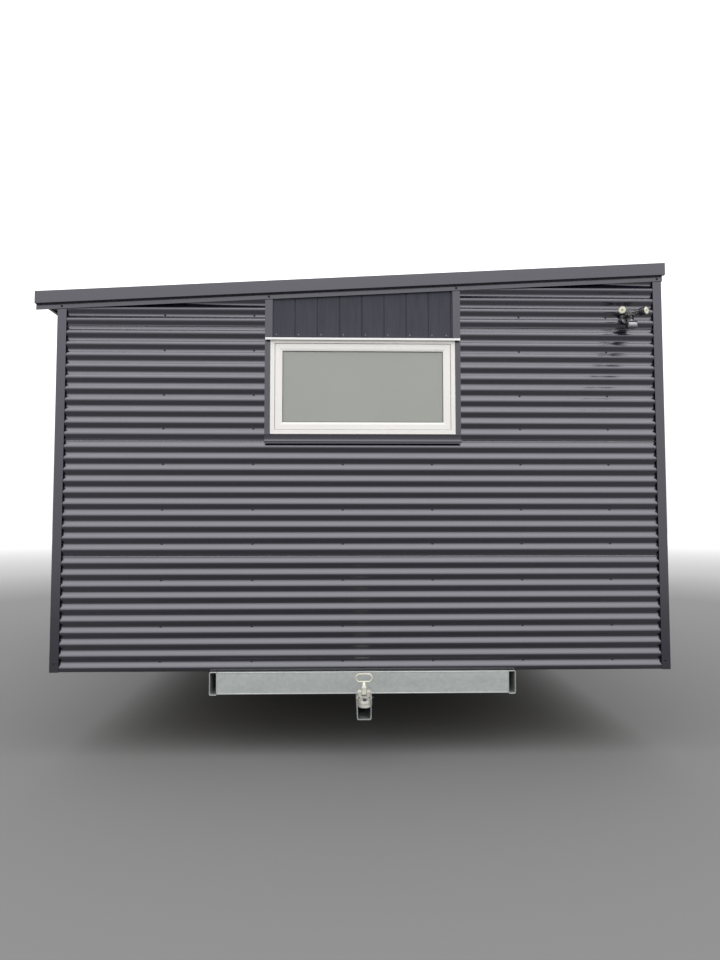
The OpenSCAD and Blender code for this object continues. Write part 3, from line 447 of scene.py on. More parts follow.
# %% Directions of the walls
HOUSE = Matrix.Translation((HOUSE_X, HOUSE_Y, 0))
MIRROR = Matrix(((0, 1, 0, 0), (1, 0, 0, 0), (0, 0, 1, 0), (0, 0, 0, 1)))
WALLS = {
    "front": HOUSE,
    "rear": Matrix.Translation((HOUSE_X, HOUSE_Y + HOUSE_L, 0)) @ Matrix.Rotation(math.pi, 4, "Z"),
    "left": Matrix.Translation((HOUSE_X - HOUSE_W / 2, HOUSE_Y, 0)) @ MIRROR,
    "right": Matrix.Translation((HOUSE_X + HOUSE_W / 2, HOUSE_Y, 0))
    @ Matrix.Rotation(math.pi / 2, 4, "Z"),
}
print("directions set for", len(WALLS), "walls")

# %% [markdown]
# ## From shapes to a piece
# Shapes of one kind are gathered in one mesh, and one function makes that mesh a piece of the
# house. It turns the faces outwards, shades them smooth, gives the hard edges a bevel or else marks
# them sharp, and says on which moving or fixed body the piece rides.

# %% From shapes to a piece
def make(mesh, name, body, material, replaces=(), bevel=0.0, segments=2, sharp=35.0,
         closed=True):
    """Turns the shapes into a named piece that rides on a body, with its finish and bevel."""
    if closed:
        bmesh.ops.recalc_face_normals(mesh, faces=mesh.faces)
    for face in mesh.faces:
        face.smooth = True
    if not bevel:
        for edge in mesh.edges:
            if len(edge.link_faces) == 2 and edge.calc_face_angle() > math.radians(sharp):
                edge.smooth = False
    data = bpy.data.meshes.new(name)
    mesh.to_mesh(data)
    mesh.free()
    data.materials.append(material)
    piece = bpy.data.objects.new(name, data)
    bpy.context.scene.collection.objects.link(piece)
    if bevel:
        add_bevel(piece, bevel, segments, sharp)
    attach(piece, body)
    if replaces:
        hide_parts(*replaces)
    print(f"{name}: {len(data.polygons)} faces")
    return piece


print("workshop ready")

# %% [markdown]
# ## Openings
# Five windows of one size and an entrance slider. All their heads are level. The list is used
# for the joinery, and again to leave the cladding open behind it.

# %% Openings
FLASHING_TOP = 0.0043
HEAD_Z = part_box("head_flashings")[1].z - FLASHING_TOP
WINDOW_W, WINDOW_H = 1.240, 0.642
DOOR_W = 1.800
DOOR_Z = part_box("door_frame")[0].z
WINDOWS = [("front", 0.0), ("rear", 0.0), ("left", 5.300), ("right", 1.900), ("right", 5.300)]
ENTRANCE = ("left", 1.500)
OPENINGS = [(wall, at, WINDOW_W, HEAD_Z - WINDOW_H) for wall, at in WINDOWS]
OPENINGS.append((*ENTRANCE, DOOR_W, DOOR_Z))
print("window heads at z", round(HEAD_Z, 3), "door foot at z", round(DOOR_Z, 3))

# %% [markdown]
# ## Corrugated cladding
# The wave is a cosine 17 mm deep, and ten ribs make a sheet's cover. The sheets lap like
# weatherboards: each upper one stands a little proud where its lower edge passes over the one
# below, and that thin step with its shadow is how a real lap shows. A row of points is set at each
# small step up the wave, and faces join the rows, except in the bays that stay open.

# %% One course of sheet
RIB_PITCH, RIB_DEPTH, RIBS_PER_SHEET = 0.0756, 0.017, 10
FIRST_CREST, LAP_SLACK = 0.026, 0.0120
LAP_BELOW, LAP_ABOVE, LAP_PROUD, LAP_FADE = 0.004, 0.006, 0.0016, 0.7
STEPS_PER_RIB = 14


def wave(t):
    """Depth of the corrugation at t pitches from a crest."""
    return RIB_DEPTH * (1 - math.cos(math.tau * t)) / 2


def rib_z(course, pitches):
    """Height of a place on a course, counted in pitches from the lowest crest."""
    return CLAD_Z + FIRST_CREST + pitches * RIB_PITCH + course * LAP_SLACK


def sheet_course(mesh, wall, course, u_stops, cuts):
    """One course of sheet on a wall. cuts are (u0, u1, z0) bays that are left open above z0."""
    lap = RIBS_PER_SHEET * course - 0.5
    foot = lap - LAP_BELOW / RIB_PITCH if course else -FIRST_CREST / RIB_PITCH
    top = lap + RIBS_PER_SHEET + LAP_ABOVE / RIB_PITCH
    steps = int((top - foot) * STEPS_PER_RIB)
    rows = []
    for i in range(steps + 1):
        p = foot + (top - foot) * i / steps
        proud = LAP_PROUD * max(0.0, 1 - (p - foot) / LAP_FADE) if course else 0.0
        rows.append([(u, STEEL_T + SEAT + wave(p) - proud, rib_z(course, p)) for u in u_stops])
    verts = [[mesh.verts.new(WALLS[wall] @ Vector(p)) for p in row] for row in rows]
    for i in range(steps):
        z = (rows[i][0][2] + rows[i + 1][0][2]) / 2
        for j in range(len(u_stops) - 1):
            u = (u_stops[j] + u_stops[j + 1]) / 2
            if not any(u0 < u < u1 and z > z0 for u0, u1, z0 in cuts):
                mesh.faces.new((verts[i][j], verts[i][j + 1], verts[i + 1][j + 1], verts[i + 1][j]))


print(f"one sheet covers {RIB_PITCH * RIBS_PER_SHEET:.3f} m")

# %% [markdown]
# ### Sheets on the four walls
# Four courses cover a wall, with the top one cut down under the roof. Open surfaces are quick to
# shape, so the sheets are cut to the roof by one bisecting plane first, and a Solidify modifier
# then gives them the thickness of real steel.

# %% Sheets on the four walls
COURSES = 4
SKIN = 2 * STEEL_T + RIB_DEPTH + 2 * SEAT
SHEET_T = 0.0009
CUT_SIDE, CUT_FOOT = 0.0165, 0.042
TUCK = 0.060


def close_stops(ends, apart=0.3, hem=0.003):
    """Places along a sheet: a narrow hem by each end, even steps between, for true shading."""
    stops = []
    for a, b in zip(ends, ends[1:]):
        steps = max(1, round((b - a) / apart))
        stops += [a, a + hem, *(a + (b - a) * i / steps for i in range(1, steps)), b - hem]
    return stops + [ends[-1]]


def face_away(mesh, inward):
    """Turns every face of an open sheet away from the inside."""
    mesh.normal_update()
    for face in mesh.faces:
        if face.normal.dot(inward) > 0:
            face.normal_flip()


def make_sheet(mesh, name, node):
    """An open sheet with the thickness of real cladding, in place of the plain one."""
    piece = make(mesh, name, "house", charcoal, (node,), sharp=60, closed=False)
    thick = piece.modifiers.new("sheet", "SOLIDIFY")
    thick.thickness = SHEET_T
    thick.offset = -1


def cladding(wall, ends, cut_plane, cut_normal):
    """All the courses of one wall, cut along the roof."""
    mesh = bmesh.new()
    cuts = [(at - w / 2 - CUT_SIDE, at + w / 2 + CUT_SIDE, z0 - CUT_FOOT)
            for where, at, w, z0 in OPENINGS if where == wall]
    stops = close_stops(sorted({*ends, *(u for cut in cuts for u in cut[:2])}))
    for course in range(COURSES):
        sheet_course(mesh, wall, course, stops, cuts)
    bmesh.ops.bisect_plane(mesh, geom=mesh.verts[:] + mesh.edges[:] + mesh.faces[:],
                           plane_co=cut_plane, plane_no=cut_normal, clear_outer=True)
    loose = [v for v in mesh.verts if not v.link_faces]
    bmesh.ops.delete(mesh, geom=loose, context="VERTS")
    face_away(mesh, WALLS[wall].to_3x3() @ Vector((0, 1, 0)))
    make_sheet(mesh, f"{wall}_sheets", f"{wall}_cladding")


half = HOUSE_W / 2 - SKIN
slope_normal = Vector((-math.sin(ROOF_FALL), 0, math.cos(ROOF_FALL)))
for wall in ("front", "rear"):
    cladding(wall, (-half, half), Vector((HOUSE_X, 0, roof_z(0) - TUCK)), slope_normal)
for wall in ("left", "right"):
    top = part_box(f"{wall}_cladding")[1].z
    cladding(wall, (SKIN, HOUSE_L - SKIN), Vector((0, 0, top)), Vector((0, 0, 1)))

# %% [markdown]
# ### Lofted and turned parts
# Nearly every other piece of a house is a bar, a folded strip, a rod or a turned part. Each of
# those is a row of matching outlines joined by faces, so one `loft` serves them all: two outlines
# make a bar, circles along a path make a rod, circles of changing size make a turned part.

# %% Lofted and turned parts
NEEDLE = 0.00001


def loft(mesh, place, rings, loop=False):
    """Faces between matching outlines, capped at both ends; loop joins the last to the first."""
    rows = [[mesh.verts.new(place @ Vector(p)) for p in ring] for ring in rings]
    count = len(rings[0])
    for a, b in list(zip(rows, rows[1:])) + ([(rows[-1], rows[0])] if loop else []):
        for i in range(count):
            j = (i + 1) % count
            mesh.faces.new((a[i], a[j], b[j], b[i]))
    if not loop:
        mesh.faces.new(rows[0])
        mesh.faces.new(rows[-1])


def circle(radius, sides, start=0.0):
    """Points round a circle."""
    turns = [start + math.tau * i / sides for i in range(sides)]
    return [(radius * math.cos(turn), radius * math.sin(turn)) for turn in turns]


def turned(mesh, place, profile, sides=24, start=0.0, loop=False):
    """A turned part about the local z axis; profile is (radius, height) from end to end."""
    rings = [[(x, y, h) for x, y in circle(max(r, NEEDLE), sides, start)] for r, h in profile]
    loft(mesh, place, rings, loop=loop)


print("a turned part has", len(circle(1.0, 24)), "sides unless it is told otherwise")

# %% [markdown]
# ### Cladding screws
# Each sheet is fixed through its valleys, three rows to a course, into studs 600 mm apart. A
# hexagonal head on a domed washer, painted to match, catches just enough light to be seen. All
# of a wall's screws are one piece.

# %% Cladding screws
SCREW_ROWS = (0.5, 3.5, 7.5)
END_COLUMNS = (-1.331, -0.733, -0.135, 0.463, 1.061, 1.659)
SIDE_COLUMNS = [0.35 + 0.598 * i for i in range(12)]
CLEAR_SIDE, CLEAR_FOOT, CLEAR_TOP = 0.06, 0.07, 0.01
BARGE_DROP, EAVE_DROP = 0.119, 0.02
WASHER = [(0.0082, 0), (0.0080, 0.0010), (0.0050, 0.0022), (0.0042, 0.0022)]
HEXAGON = [(0.0046, 0.0018), (0.0046, 0.0052), (0.0034, 0.0062)]


def screw(mesh, place):
    """A hexagonal screw head on a domed washer; the local z axis points out of the wall."""
    turned(mesh, place, WASHER, 14)
    turned(mesh, place, HEXAGON, 6)


def facing_out(wall, u, v, z):
    """A local frame on the wall with its z axis pointing outwards."""
    return WALLS[wall] @ Matrix.Translation((u, v, z)) @ Matrix.Rotation(math.pi / 2, 4, "X")


def wall_screws(wall, columns, top_at):
    """Screws in every valley row of a wall, clear of the openings."""
    mesh = bmesh.new()
    count = 0
    for course in range(COURSES):
        for row in SCREW_ROWS:
            z = rib_z(course, row + RIBS_PER_SHEET * course)
            for u in columns:
                taken = any(where == wall and abs(u - at) < w / 2 + CLEAR_SIDE
                            and z > z0 - CLEAR_FOOT for where, at, w, z0 in OPENINGS)
                if not taken and z < top_at(u) - CLEAR_TOP:
                    screw(mesh, facing_out(wall, u, STEEL_T + SEAT + RIB_DEPTH, z))
                    count += 1
    make(mesh, f"{wall}_screws", "house", screw_paint, sharp=30)
    return count


counted = wall_screws("front", END_COLUMNS, lambda u: roof_z(u) - BARGE_DROP)
counted += wall_screws("rear", END_COLUMNS, lambda u: roof_z(-u) - BARGE_DROP)
for wall in ("left", "right"):
    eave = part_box(f"{wall}_cladding")[1].z - EAVE_DROP
    counted += wall_screws(wall, SIDE_COLUMNS, lambda u, eave=eave: eave)
print("cladding screws:", counted)

# %% [markdown]
# ## Roof sheets
# The same steel runs down the slope on the roof, its ribs running past the fascia. It is made in
# the roof's own tilted directions, then screwed down through its crests in rows across the
# purlins.

# %% Roof sheets
FASCIA_OVER, SHEET_OVER, SHEET_END = 0.062, 0.030, 0.004
ROOF_LOW = -(HOUSE_W / 2 + FASCIA_OVER + SHEET_OVER)
ROOF_HIGH = HOUSE_W / 2 - SEAT
ROOF_SPAN = HOUSE_L + 2 * SHEET_END
CREST_DROP = 0.0023
PURLINS = (0.20, 1.00, 1.80, 2.60, 3.40, 3.95)
LOW_HEAD = 0.36
roof_place = (Matrix.Translation((HOUSE_X, HOUSE_Y - SHEET_END, roof_z(0)))
              @ Matrix.Rotation(-ROOF_FALL, 4, "Y")
              @ Matrix.Translation((ROOF_LOW, 0, -CREST_DROP)))
ribs = int(ROOF_SPAN / RIB_PITCH)
roof_pitch = ROOF_SPAN / ribs
mesh = bmesh.new()
stations = close_stops([0.0, ROOF_HIGH - ROOF_LOW], 0.7)
lines = []
for i in range(ribs * STEPS_PER_RIB + 1):
    t = i / STEPS_PER_RIB
    lines.append([mesh.verts.new(roof_place @ Vector((x, t * roof_pitch, -wave(t))))
                  for x in stations])
for a, b in zip(lines, lines[1:]):
    for j in range(len(stations) - 1):
        mesh.faces.new((a[j], a[j + 1], b[j + 1], b[j]))
face_away(mesh, Vector((0, 0, -1)))
make_sheet(mesh, "roof_skin", "roof_sheets")

mesh = bmesh.new()
roof_fixings = 0
for i in range(2, ribs - 1, 3):
    for x in PURLINS:
        screw(mesh, roof_place @ Matrix.Translation((x, i * roof_pitch, 0))
              @ Matrix.Scale(LOW_HEAD, 4, (0, 0, 1)))
        roof_fixings += 1
make(mesh, "roof_screws", "house", screw_paint, sharp=30)
print("roof screws:", roof_fixings)

# %% [markdown]
# ## Windows and entrance
# Each window is an outer frame with a nailing flange, an awning sash that closes into it, and
# sealed glass. The bars are extrusions cut at 45 degrees and welded at the corners, so each is
# made as four mitred bars from one outline: the narrow bevel on their ends leaves the fine weld
# line that shows at every corner.

# %% Outlines of the bars
FRAME_FACE, FLANGE, FRAME_PROUD = 0.029, 0.0145, 0.012
STOP_T, STOP_LIP = 0.020, 0.004
SASH_FACE, REBATE = 0.051, 0.013
BEAD_T, GLASS_T = 0.010, 0.024
SASH_DEPTH = 2 * BEAD_T + GLASS_T + 2 * SEAT


def mitred(mesh, place, at, width, z0, z1, profile):
    """Four bars mitred round a rectangle; profile is (distance in from the edge, depth v)."""
    corners = [(-width / 2, z0, 1, 1), (width / 2, z0, -1, 1),
               (width / 2, z1, -1, -1), (-width / 2, z1, 1, -1)]
    for k in range(4):
        ends = [[(at + u + su * inset, v, z + sz * inset) for inset, v in profile]
                for u, z, su, sz in (corners[k], corners[(k + 1) % 4])]
        loft(mesh, place, ends)


def frame_outline(back):
    """Outer frame: flange on the trims, body through the wall and the stop behind the sash."""
    front, stop_in = -FRAME_PROUD, FLANGE + FRAME_FACE + STOP_LIP
    return [(0, front + 0.002), (0.002, front), (0.0135, front), (0.0140, front + 0.0008),
            (0.0150, front + 0.0008), (0.0155, front), (FRAME_FACE - 0.001, front),
            (FRAME_FACE, front + 0.001), (FRAME_FACE, back - STOP_T), (stop_in, back - STOP_T),
            (stop_in, back), (FLANGE, back), (FLANGE, -SEAT), (0, -SEAT)]


def sash_outline(v):
    """Sash: flat face, sloped bead to the glass, rebate, and the inner glazing bead."""
    back = v + SASH_DEPTH
    inner = SASH_FACE - REBATE
    return [(0, v + 0.0070), (0.0026, v + 0.0070), (0.0026, v + 0.0010), (0.0036, v),
            (0.0350, v), (0.0355, v + 0.0006), (0.0365, v + 0.0006),
            (SASH_FACE - 0.0015, v + 0.0050), (SASH_FACE, v + 0.0065), (SASH_FACE, v + BEAD_T),
            (inner, v + BEAD_T), (inner, back - BEAD_T), (SASH_FACE, back - BEAD_T),
            (SASH_FACE, back - 0.004), (SASH_FACE - 0.006, back), (0.002, back), (0, back - 0.002)]


print(f"a sash is {SASH_DEPTH * 1000:.1f} mm deep")

# %% [markdown]
# ### Five windows
# A sash is a set of parts that always come together: its bars, a black gasket on both faces of the
# glass, two panes, and the alloy spacer that holds them apart. One function makes the set, so the
# entrance can use it too.

# %% Five windows
SASH_V, SASH_CLEAR = -0.008, 0.0006
PANE_T, GASKET_V, SPACER_V = 0.004, 0.0070, 0.0045


def blanks(count):
    """Empty meshes, one for each kind of part that a cell makes."""
    return [bmesh.new() for _ in range(count)]


def bar(mesh, place, lo, hi):
    """A straight bar from its low corner to its high corner."""
    loft(mesh, place, [[(x, lo[1], lo[2]), (x, hi[1], lo[2]), (x, hi[1], hi[2]), (x, lo[1], hi[2])]
                       for x in (lo[0], hi[0])])


def sash_set(bars, gaskets, spacers, panes, place, at, w, z0, z1, v):
    """One sash's bars, gaskets, spacer and the two panes of its sealed glass."""
    back = v + SASH_DEPTH
    mitred(bars, place, at, w, z0, z1, sash_outline(v))
    for g0, g1 in ((v + GASKET_V, v + BEAD_T + SEAT), (back - BEAD_T - SEAT, back - GASKET_V)):
        mitred(gaskets, place, at, w, z0, z1, [
            (SASH_FACE - 0.001, g0), (SASH_FACE + 0.0030, g0 + 0.0004), (SASH_FACE + 0.0034, g1),
            (SASH_FACE - 0.001, g1)])
    rim = SASH_FACE - REBATE + SEAT
    g0, g1 = v + BEAD_T + 2 * SEAT, back - BEAD_T - 2 * SEAT
    mitred(spacers, place, at, w, z0, z1, [
        (rim + 0.001, g0 + SPACER_V), (SASH_FACE + 0.0025, g0 + SPACER_V),
        (SASH_FACE + 0.0025, g1 - SPACER_V), (rim + 0.001, g1 - SPACER_V)])
    for a, b in ((g0, g0 + PANE_T), (g1 - PANE_T, g1)):
        bar(panes, place, (at - w / 2 + rim, a, z0 + rim), (at + w / 2 - rim, b, z1 - rim))


window_bars, sash_bars, gaskets, spacers, front_panes, clear_panes = blanks(6)
sash_w = WINDOW_W - 2 * FRAME_FACE - 2 * SASH_CLEAR
sash_z0 = HEAD_Z - WINDOW_H + FRAME_FACE + SASH_CLEAR
sash_z1 = HEAD_Z - FRAME_FACE - SASH_CLEAR
for wall, at in WINDOWS:
    mitred(window_bars, WALLS[wall], at, WINDOW_W, HEAD_Z - WINDOW_H, HEAD_Z,
           frame_outline(SASH_V + SASH_DEPTH + SEAT + STOP_T))
    panes = front_panes if wall == "front" else clear_panes
    sash_set(sash_bars, gaskets, spacers, panes, WALLS[wall], at, sash_w, sash_z0, sash_z1, SASH_V)
make(window_bars, "window_outer_bars", "house", white_upvc, ("window_frames",),
     bevel=0.0005)
make(sash_bars, "window_sash_bars", "house", white_upvc, ("window_sashes",),
     bevel=0.0005)
make(front_panes, "front_window_panes", "house", glass_painted_sky, ("window_glass",),
     bevel=0.0004)
make(clear_panes, "side_window_panes", "house", glass_painted_sky, ("window_glass",),
     bevel=0.0004)

# %% [markdown]
# ### Entrance slider
# The entrance is the same extrusion family at full height: one frame and two sashes, one running
# behind the other, so their stiles overlap in the middle when it is shut.

# %% Entrance slider
door_bars, leaf_bars, door_panes = blanks(3)
wall, at = ENTRANCE
inner_v = SASH_V + SASH_DEPTH + 2 * SEAT
mitred(door_bars, WALLS[wall], at, DOOR_W, DOOR_Z, HEAD_Z,
       frame_outline(inner_v + SASH_DEPTH + SEAT + STOP_T))
make(door_bars, "entrance_frame", "house", white_upvc, ("door_frame",),
     bevel=0.0005)
leaf_w = DOOR_W / 2 - FRAME_FACE - SASH_CLEAR + SASH_FACE / 2
leaf_at = (leaf_w - SASH_FACE) / 2
leaf_z0 = DOOR_Z + FRAME_FACE + SASH_CLEAR
for side, v in ((1, SASH_V), (-1, inner_v)):
    sash_set(leaf_bars, gaskets, spacers, door_panes, WALLS[wall], at + side * leaf_at, leaf_w,
             leaf_z0, sash_z1, v)
make(leaf_bars, "entrance_leaves", "house", white_upvc, ("door_leaves",),
     bevel=0.0005)
make(door_panes, "entrance_panes", "house", glass_painted_sky, ("door_glass",), bevel=0.0004)
make(gaskets, "glazing_gaskets", "house", rubber_black, bevel=0.0002)
make(spacers, "glass_spacers", "house", spacer_alloy, bevel=0.0002)

# %% [markdown]
# ### Entrance hardware
# The sliding leaf has a bow handle on its lock stile with a keyed cylinder under it. The bow is
# a rod swept along a short path between two feet.

# %% Entrance hardware
LOCK_RISE, FOOT_RISE, KEY_DROP, BOW_R = 1.020, 0.110, 0.165, 0.0075
BOW_HALF = [(0.001, FOOT_RISE), (-0.020, 0.108), (-0.034, 0.096), (-0.038, 0.070)]
FOOT = [(0.0150, 0), (0.0150, 0.003), (0.0110, 0.006), (0.0070, 0.008)]
KEY_CYLINDER = [(0.0140, 0), (0.0140, 0.003), (0.0100, 0.006), (0.0090, 0.010), (0.0070, 0.0102)]


def tube(mesh, place, path, radius, sides=12):
    """A round rod or pipe that follows a path; radius may be a list, one for each point."""
    path = [Vector(p) for p in path]
    rings, side = [], None
    for i, p in enumerate(path):
        along = (path[min(i + 1, len(path) - 1)] - path[max(i - 1, 0)]).normalized()
        if side is None:
            side = along.orthogonal().normalized()
        side = (side - along * side.dot(along)).normalized()
        up = along.cross(side)
        r = radius[i] if isinstance(radius, (list, tuple)) else radius
        rings.append([p + side * x + up * y for x, y in circle(r, sides)])
    loft(mesh, place, rings)


handle = bmesh.new()
lock_u = at + leaf_at + leaf_w / 2 - SASH_FACE / 2
lock_z = DOOR_Z + LOCK_RISE
bow = [(v, -z) for v, z in BOW_HALF] + [(-0.039, 0)] + BOW_HALF[::-1]
tube(handle, WALLS[wall], [(lock_u, SASH_V + v, lock_z + z) for v, z in bow], BOW_R, 16)
for part, rise in ((FOOT, -FOOT_RISE), (FOOT, FOOT_RISE), (KEY_CYLINDER, -KEY_DROP)):
    turned(handle, facing_out(wall, lock_u, SASH_V, lock_z + rise), part)
make(handle, "entrance_bow", "house", grey_metal, ("entrance_handle",), sharp=30)

# %% [markdown]
# ## Panel over each opening
# The boards over the heads are nailed near their feet. In the picture the row of small
# galvanised nail heads shows as pale dots just above the white flashing, one to a board and one
# more at the right edge.

# %% Board nails
BOARD_W, BOARD_V = 0.150, 0.0093
NAIL_IN, NAIL_RISE, EDGE_GAP, LAST_IN = 0.025, 0.0345, 0.020, 0.043
TRIM_LAP = 0.002
NAIL_HEAD = [(0.0036, -0.001), (0.0036, 0.0006), (0.0022, 0.0012)]


def half_bay(width):
    """Half the width between the trims beside an opening."""
    return width / 2 - FLANGE + TRIM_LAP


nails = bmesh.new()
for wall, at, w, _ in OPENINGS:
    reach = half_bay(w)
    boards = int(2 * reach / BOARD_W) + 1
    places = [-reach + NAIL_IN + i * BOARD_W for i in range(boards)]
    for u in [u for u in places if u < reach - EDGE_GAP] + [reach - LAST_IN]:
        turned(nails, facing_out(wall, at + u, BOARD_V, HEAD_Z + NAIL_RISE), NAIL_HEAD, 12)
make(nails, "board_nails", "house", nail_grey, sharp=40)

# %% [markdown]
# ### Folded sills
# A sill flashing is one strip with three folds. Its face leans back under the window, so it only
# reflects the ground and looks darker than the trims; below a tight fold a small lip kicks out,
# catches the sky as one thin bright line, and throws the rain clear of the cladding.

# %% Folded sills
SILL_FOLDS = [(-SEAT, 0), (-0.0080, -0.0010), (-0.0014, -0.0330), (-0.0014, -0.0360),
              (-0.0072, -0.0450), (-0.0072, -0.0490), (-0.0022, -0.0520), (-0.0022, -0.0615),
              (-SEAT, -0.0615)]
TRIM_W = 0.051
sills = bmesh.new()
for wall, at, w, z0 in OPENINGS:
    reach = half_bay(w) + TRIM_W
    loft(sills, WALLS[wall], [[(at + end, v, z0 + dz) for v, dz in SILL_FOLDS]
                              for end in (-reach, reach)])
make(sills, "folded_sills", "house", flashing_paint, ("sill_flashings",),
     bevel=0.0003)

# %% [markdown]
# ### Flashing screws
# The strip under the barge is held by a screw over each corner flashing and one over each trim,
# and each corner flashing has one more near its foot. The long sides have no strip, so there the
# screw goes into the trim above the window's head.

# %% Flashing screws
STRIP_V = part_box("barge_strips")[0].y - HOUSE_Y
STRIP_MIDDLE, FOOT_UP, HEAD_UP = 0.102, 0.060, 0.060
LEFT_IN, RIGHT_IN = 0.030, 0.032
fixings = bmesh.new()
held = 0
for u in (-HOUSE_W / 2 + LEFT_IN, HOUSE_W / 2 - RIGHT_IN):
    for wall, slope in (("front", 1), ("rear", -1)):
        screw(fixings, facing_out(wall, u, STRIP_V, roof_z(slope * u) - STRIP_MIDDLE))
        screw(fixings, facing_out(wall, u, 0, CLAD_Z + FOOT_UP))
        held += 2
for wall, at, w, _ in OPENINGS:
    for u in (at - half_bay(w) - TRIM_W / 2, at + half_bay(w) + TRIM_W / 2):
        if wall in ("left", "right"):
            screw(fixings, facing_out(wall, u, 0, HEAD_Z + HEAD_UP))
        else:
            eave = roof_z(u if wall == "front" else -u)
            screw(fixings, facing_out(wall, u, STRIP_V, eave - STRIP_MIDDLE))
        held += 1
make(fixings, "flashing_screws", "house", screw_paint, sharp=30)
print("flashing screws:", held)

# %% [markdown]
# ## Security light
# Each lamp head carries a pressed lens set in its bezel, with fine rings moulded in it and the
# amber chip showing in the middle. The lenses ride on their own heads, so they turn with them.

# %% Lamp lenses
LIGHT_IN, LIGHT_RISE, KNUCKLE_X, KNUCKLE_V = 0.249, 2.378, 0.050, -0.064
LAMP_L, LAMP_R = 0.072, 0.027
LENS_RINGS, RING_GAP = 5, 0.0029
light = WALLS["front"] @ Matrix.Translation((HOUSE_W / 2 - LIGHT_IN, STEEL_T, CLAD_Z + LIGHT_RISE))
FORWARD = Matrix.Rotation(math.pi / 2, 4, "X")


def lens_profile():
    """The lens from its seat in the bezel to its middle, with five low rings."""
    edge = LAMP_R - 0.0044
    points = [(edge, LAMP_L - 0.0028), (edge, LAMP_L - 0.0006), (edge - 0.0006, LAMP_L + 0.0004)]
    for ring in range(LENS_RINGS):
        r = edge - 0.0014 - ring * RING_GAP
        dome = LAMP_L + 0.0006 + 0.0016 * (1 - (r / LAMP_R) ** 2)
        points += [(r, dome), (r - 0.0008, dome + 0.0005), (r - 0.0018, dome + 0.0001)]
    return points + [(0.0, LAMP_L + 0.0026)]


CHIP = [(0.0072, LAMP_L + 0.0018), (0.0072, LAMP_L + 0.0030), (0.0064, LAMP_L + 0.0035),
        (0.0, LAMP_L + 0.0037)]
for side, name, yaw in ((-1, "lamp_left", -22), (1, "lamp_right", 31)):
    head = (light @ Matrix.Translation((side * KNUCKLE_X, KNUCKLE_V, 0))
            @ Matrix.Rotation(math.radians(yaw), 4, "Z") @ FORWARD)
    lens, chip = blanks(2)
    turned(lens, head, lens_profile(), 48)
    make(lens, f"{name}_lens", name, lens_cream, sharp=25)
    turned(chip, head, CHIP, 8, start=math.pi / 8)
    make(chip, f"{name}_chip", name, chip_amber, sharp=25)

# %% [markdown]
# ### Motion sensor
# The sensor looks out through a curved, faceted, frosted lens, which is lofted in six strips from
# one curved outline. A shallow hood frames it, and a collar closes the joint that it turns on.

# %% Motion sensor
SENSOR_X, SENSOR_DROP = 0.008, 0.083
EYE_R, EYE_T, EYE_V, EYE_HALF = 0.0146, 0.003, -0.020, 0.0262
STRIP_GAP = 0.0002
COLLAR = [(0.0121, 0.0255), (0.0128, 0.0259), (0.0128, 0.0338), (0.0121, 0.0342)]
HOOD_W, HOOD_HALF = 0.065, 0.0235
HOOD = [(0, -0.017), (0, -0.0275), (0.0020, -0.0295), (0.0052, -0.0295), (0.0062, -0.0280),
        (0.0062, -0.017)]
sensor = light @ Matrix.Translation((SENSOR_X, KNUCKLE_V, -SENSOR_DROP))
facets = [math.radians(-84 + 24 * i) for i in range(8)]
outline = [(EYE_V - r * math.cos(a), r * math.sin(a))
           for r, angles in ((EYE_R, facets), (EYE_R - EYE_T, facets[::-1])) for a in angles]
eye, collar, hood = blanks(3)
for i in range(6):
    x0 = -EYE_HALF + i * EYE_HALF / 3
    loft(eye, sensor, [[(x, v, z) for v, z in outline]
                       for x in (x0 + STRIP_GAP, x0 + EYE_HALF / 3 - STRIP_GAP)])
make(eye, "sensor_lens", "motion_sensor", lens_frosted, bevel=0.0003)
turned(collar, sensor, COLLAR, 32, loop=True)
make(collar, "sensor_collar", "motion_sensor", lens_frosted, sharp=30)
mitred(hood, sensor, 0, HOOD_W, -HOOD_HALF, HOOD_HALF, HOOD)
make(hood, "sensor_hood", "motion_sensor", black_plastic, bevel=0.0005)

# %% [markdown]
# ### Light's yoke and base screws
# A bent yoke carries both lamp heads on its ends, with a round knob over each joint, and the
# sensor on a swelling stalk below. Four screws hold the round base to the wall.

# %% Light's yoke and base screws
ARM = [(0.0500, 0.0128), (0.0440, 0.0150), (0.0340, 0.0190), (0.0200, 0.0215), (0.0080, 0.0205),
       (0.0, 0.0190)]
STALK = [(0, 0, 0.020), (0.001, -0.002, 0.006), (0.004, -0.004, -0.012), (0.008, -0.002, -0.030),
         (0.008, 0, -0.046)]
ARM_R, STALK_R = 0.0042, [0.0062, 0.0078, 0.0078, 0.0070, 0.0064]
KNOB = [(0.0080, 0.0092), (0.0084, 0.0100), (0.0084, 0.0140), (0.0070, 0.0165), (0.0, 0.0172)]
BASE_R, BASE_DROP, BASE_V = 0.037, 0.020, -0.026
BASE_SCREW = [(0.0036, -0.001), (0.0036, 0.0008), (0.0024, 0.0018)]
arms, base_screws = blanks(2)
yoke = [(-x, KNUCKLE_V, z) for x, z in ARM] + [(x, KNUCKLE_V, z) for x, z in reversed(ARM[:-1])]
tube(arms, light, yoke, ARM_R, 16)
tube(arms, light, [(x, KNUCKLE_V + v, z) for x, v, z in STALK], STALK_R, 20)
for side in (-1, 1):
    turned(arms, light @ Matrix.Translation((side * KNUCKLE_X, KNUCKLE_V, 0)), KNOB)
make(arms, "light_yoke", "house", black_plastic, sharp=40)
for angle in (35, 145, 215, 325):
    x = BASE_R * math.cos(math.radians(angle))
    z = BASE_R * math.sin(math.radians(angle)) - BASE_DROP
    turned(base_screws, light @ Matrix.Translation((x, BASE_V, z)) @ FORWARD, BASE_SCREW, 16)
make(base_screws, "light_base_screws", "house", bolt_zinc, sharp=30)

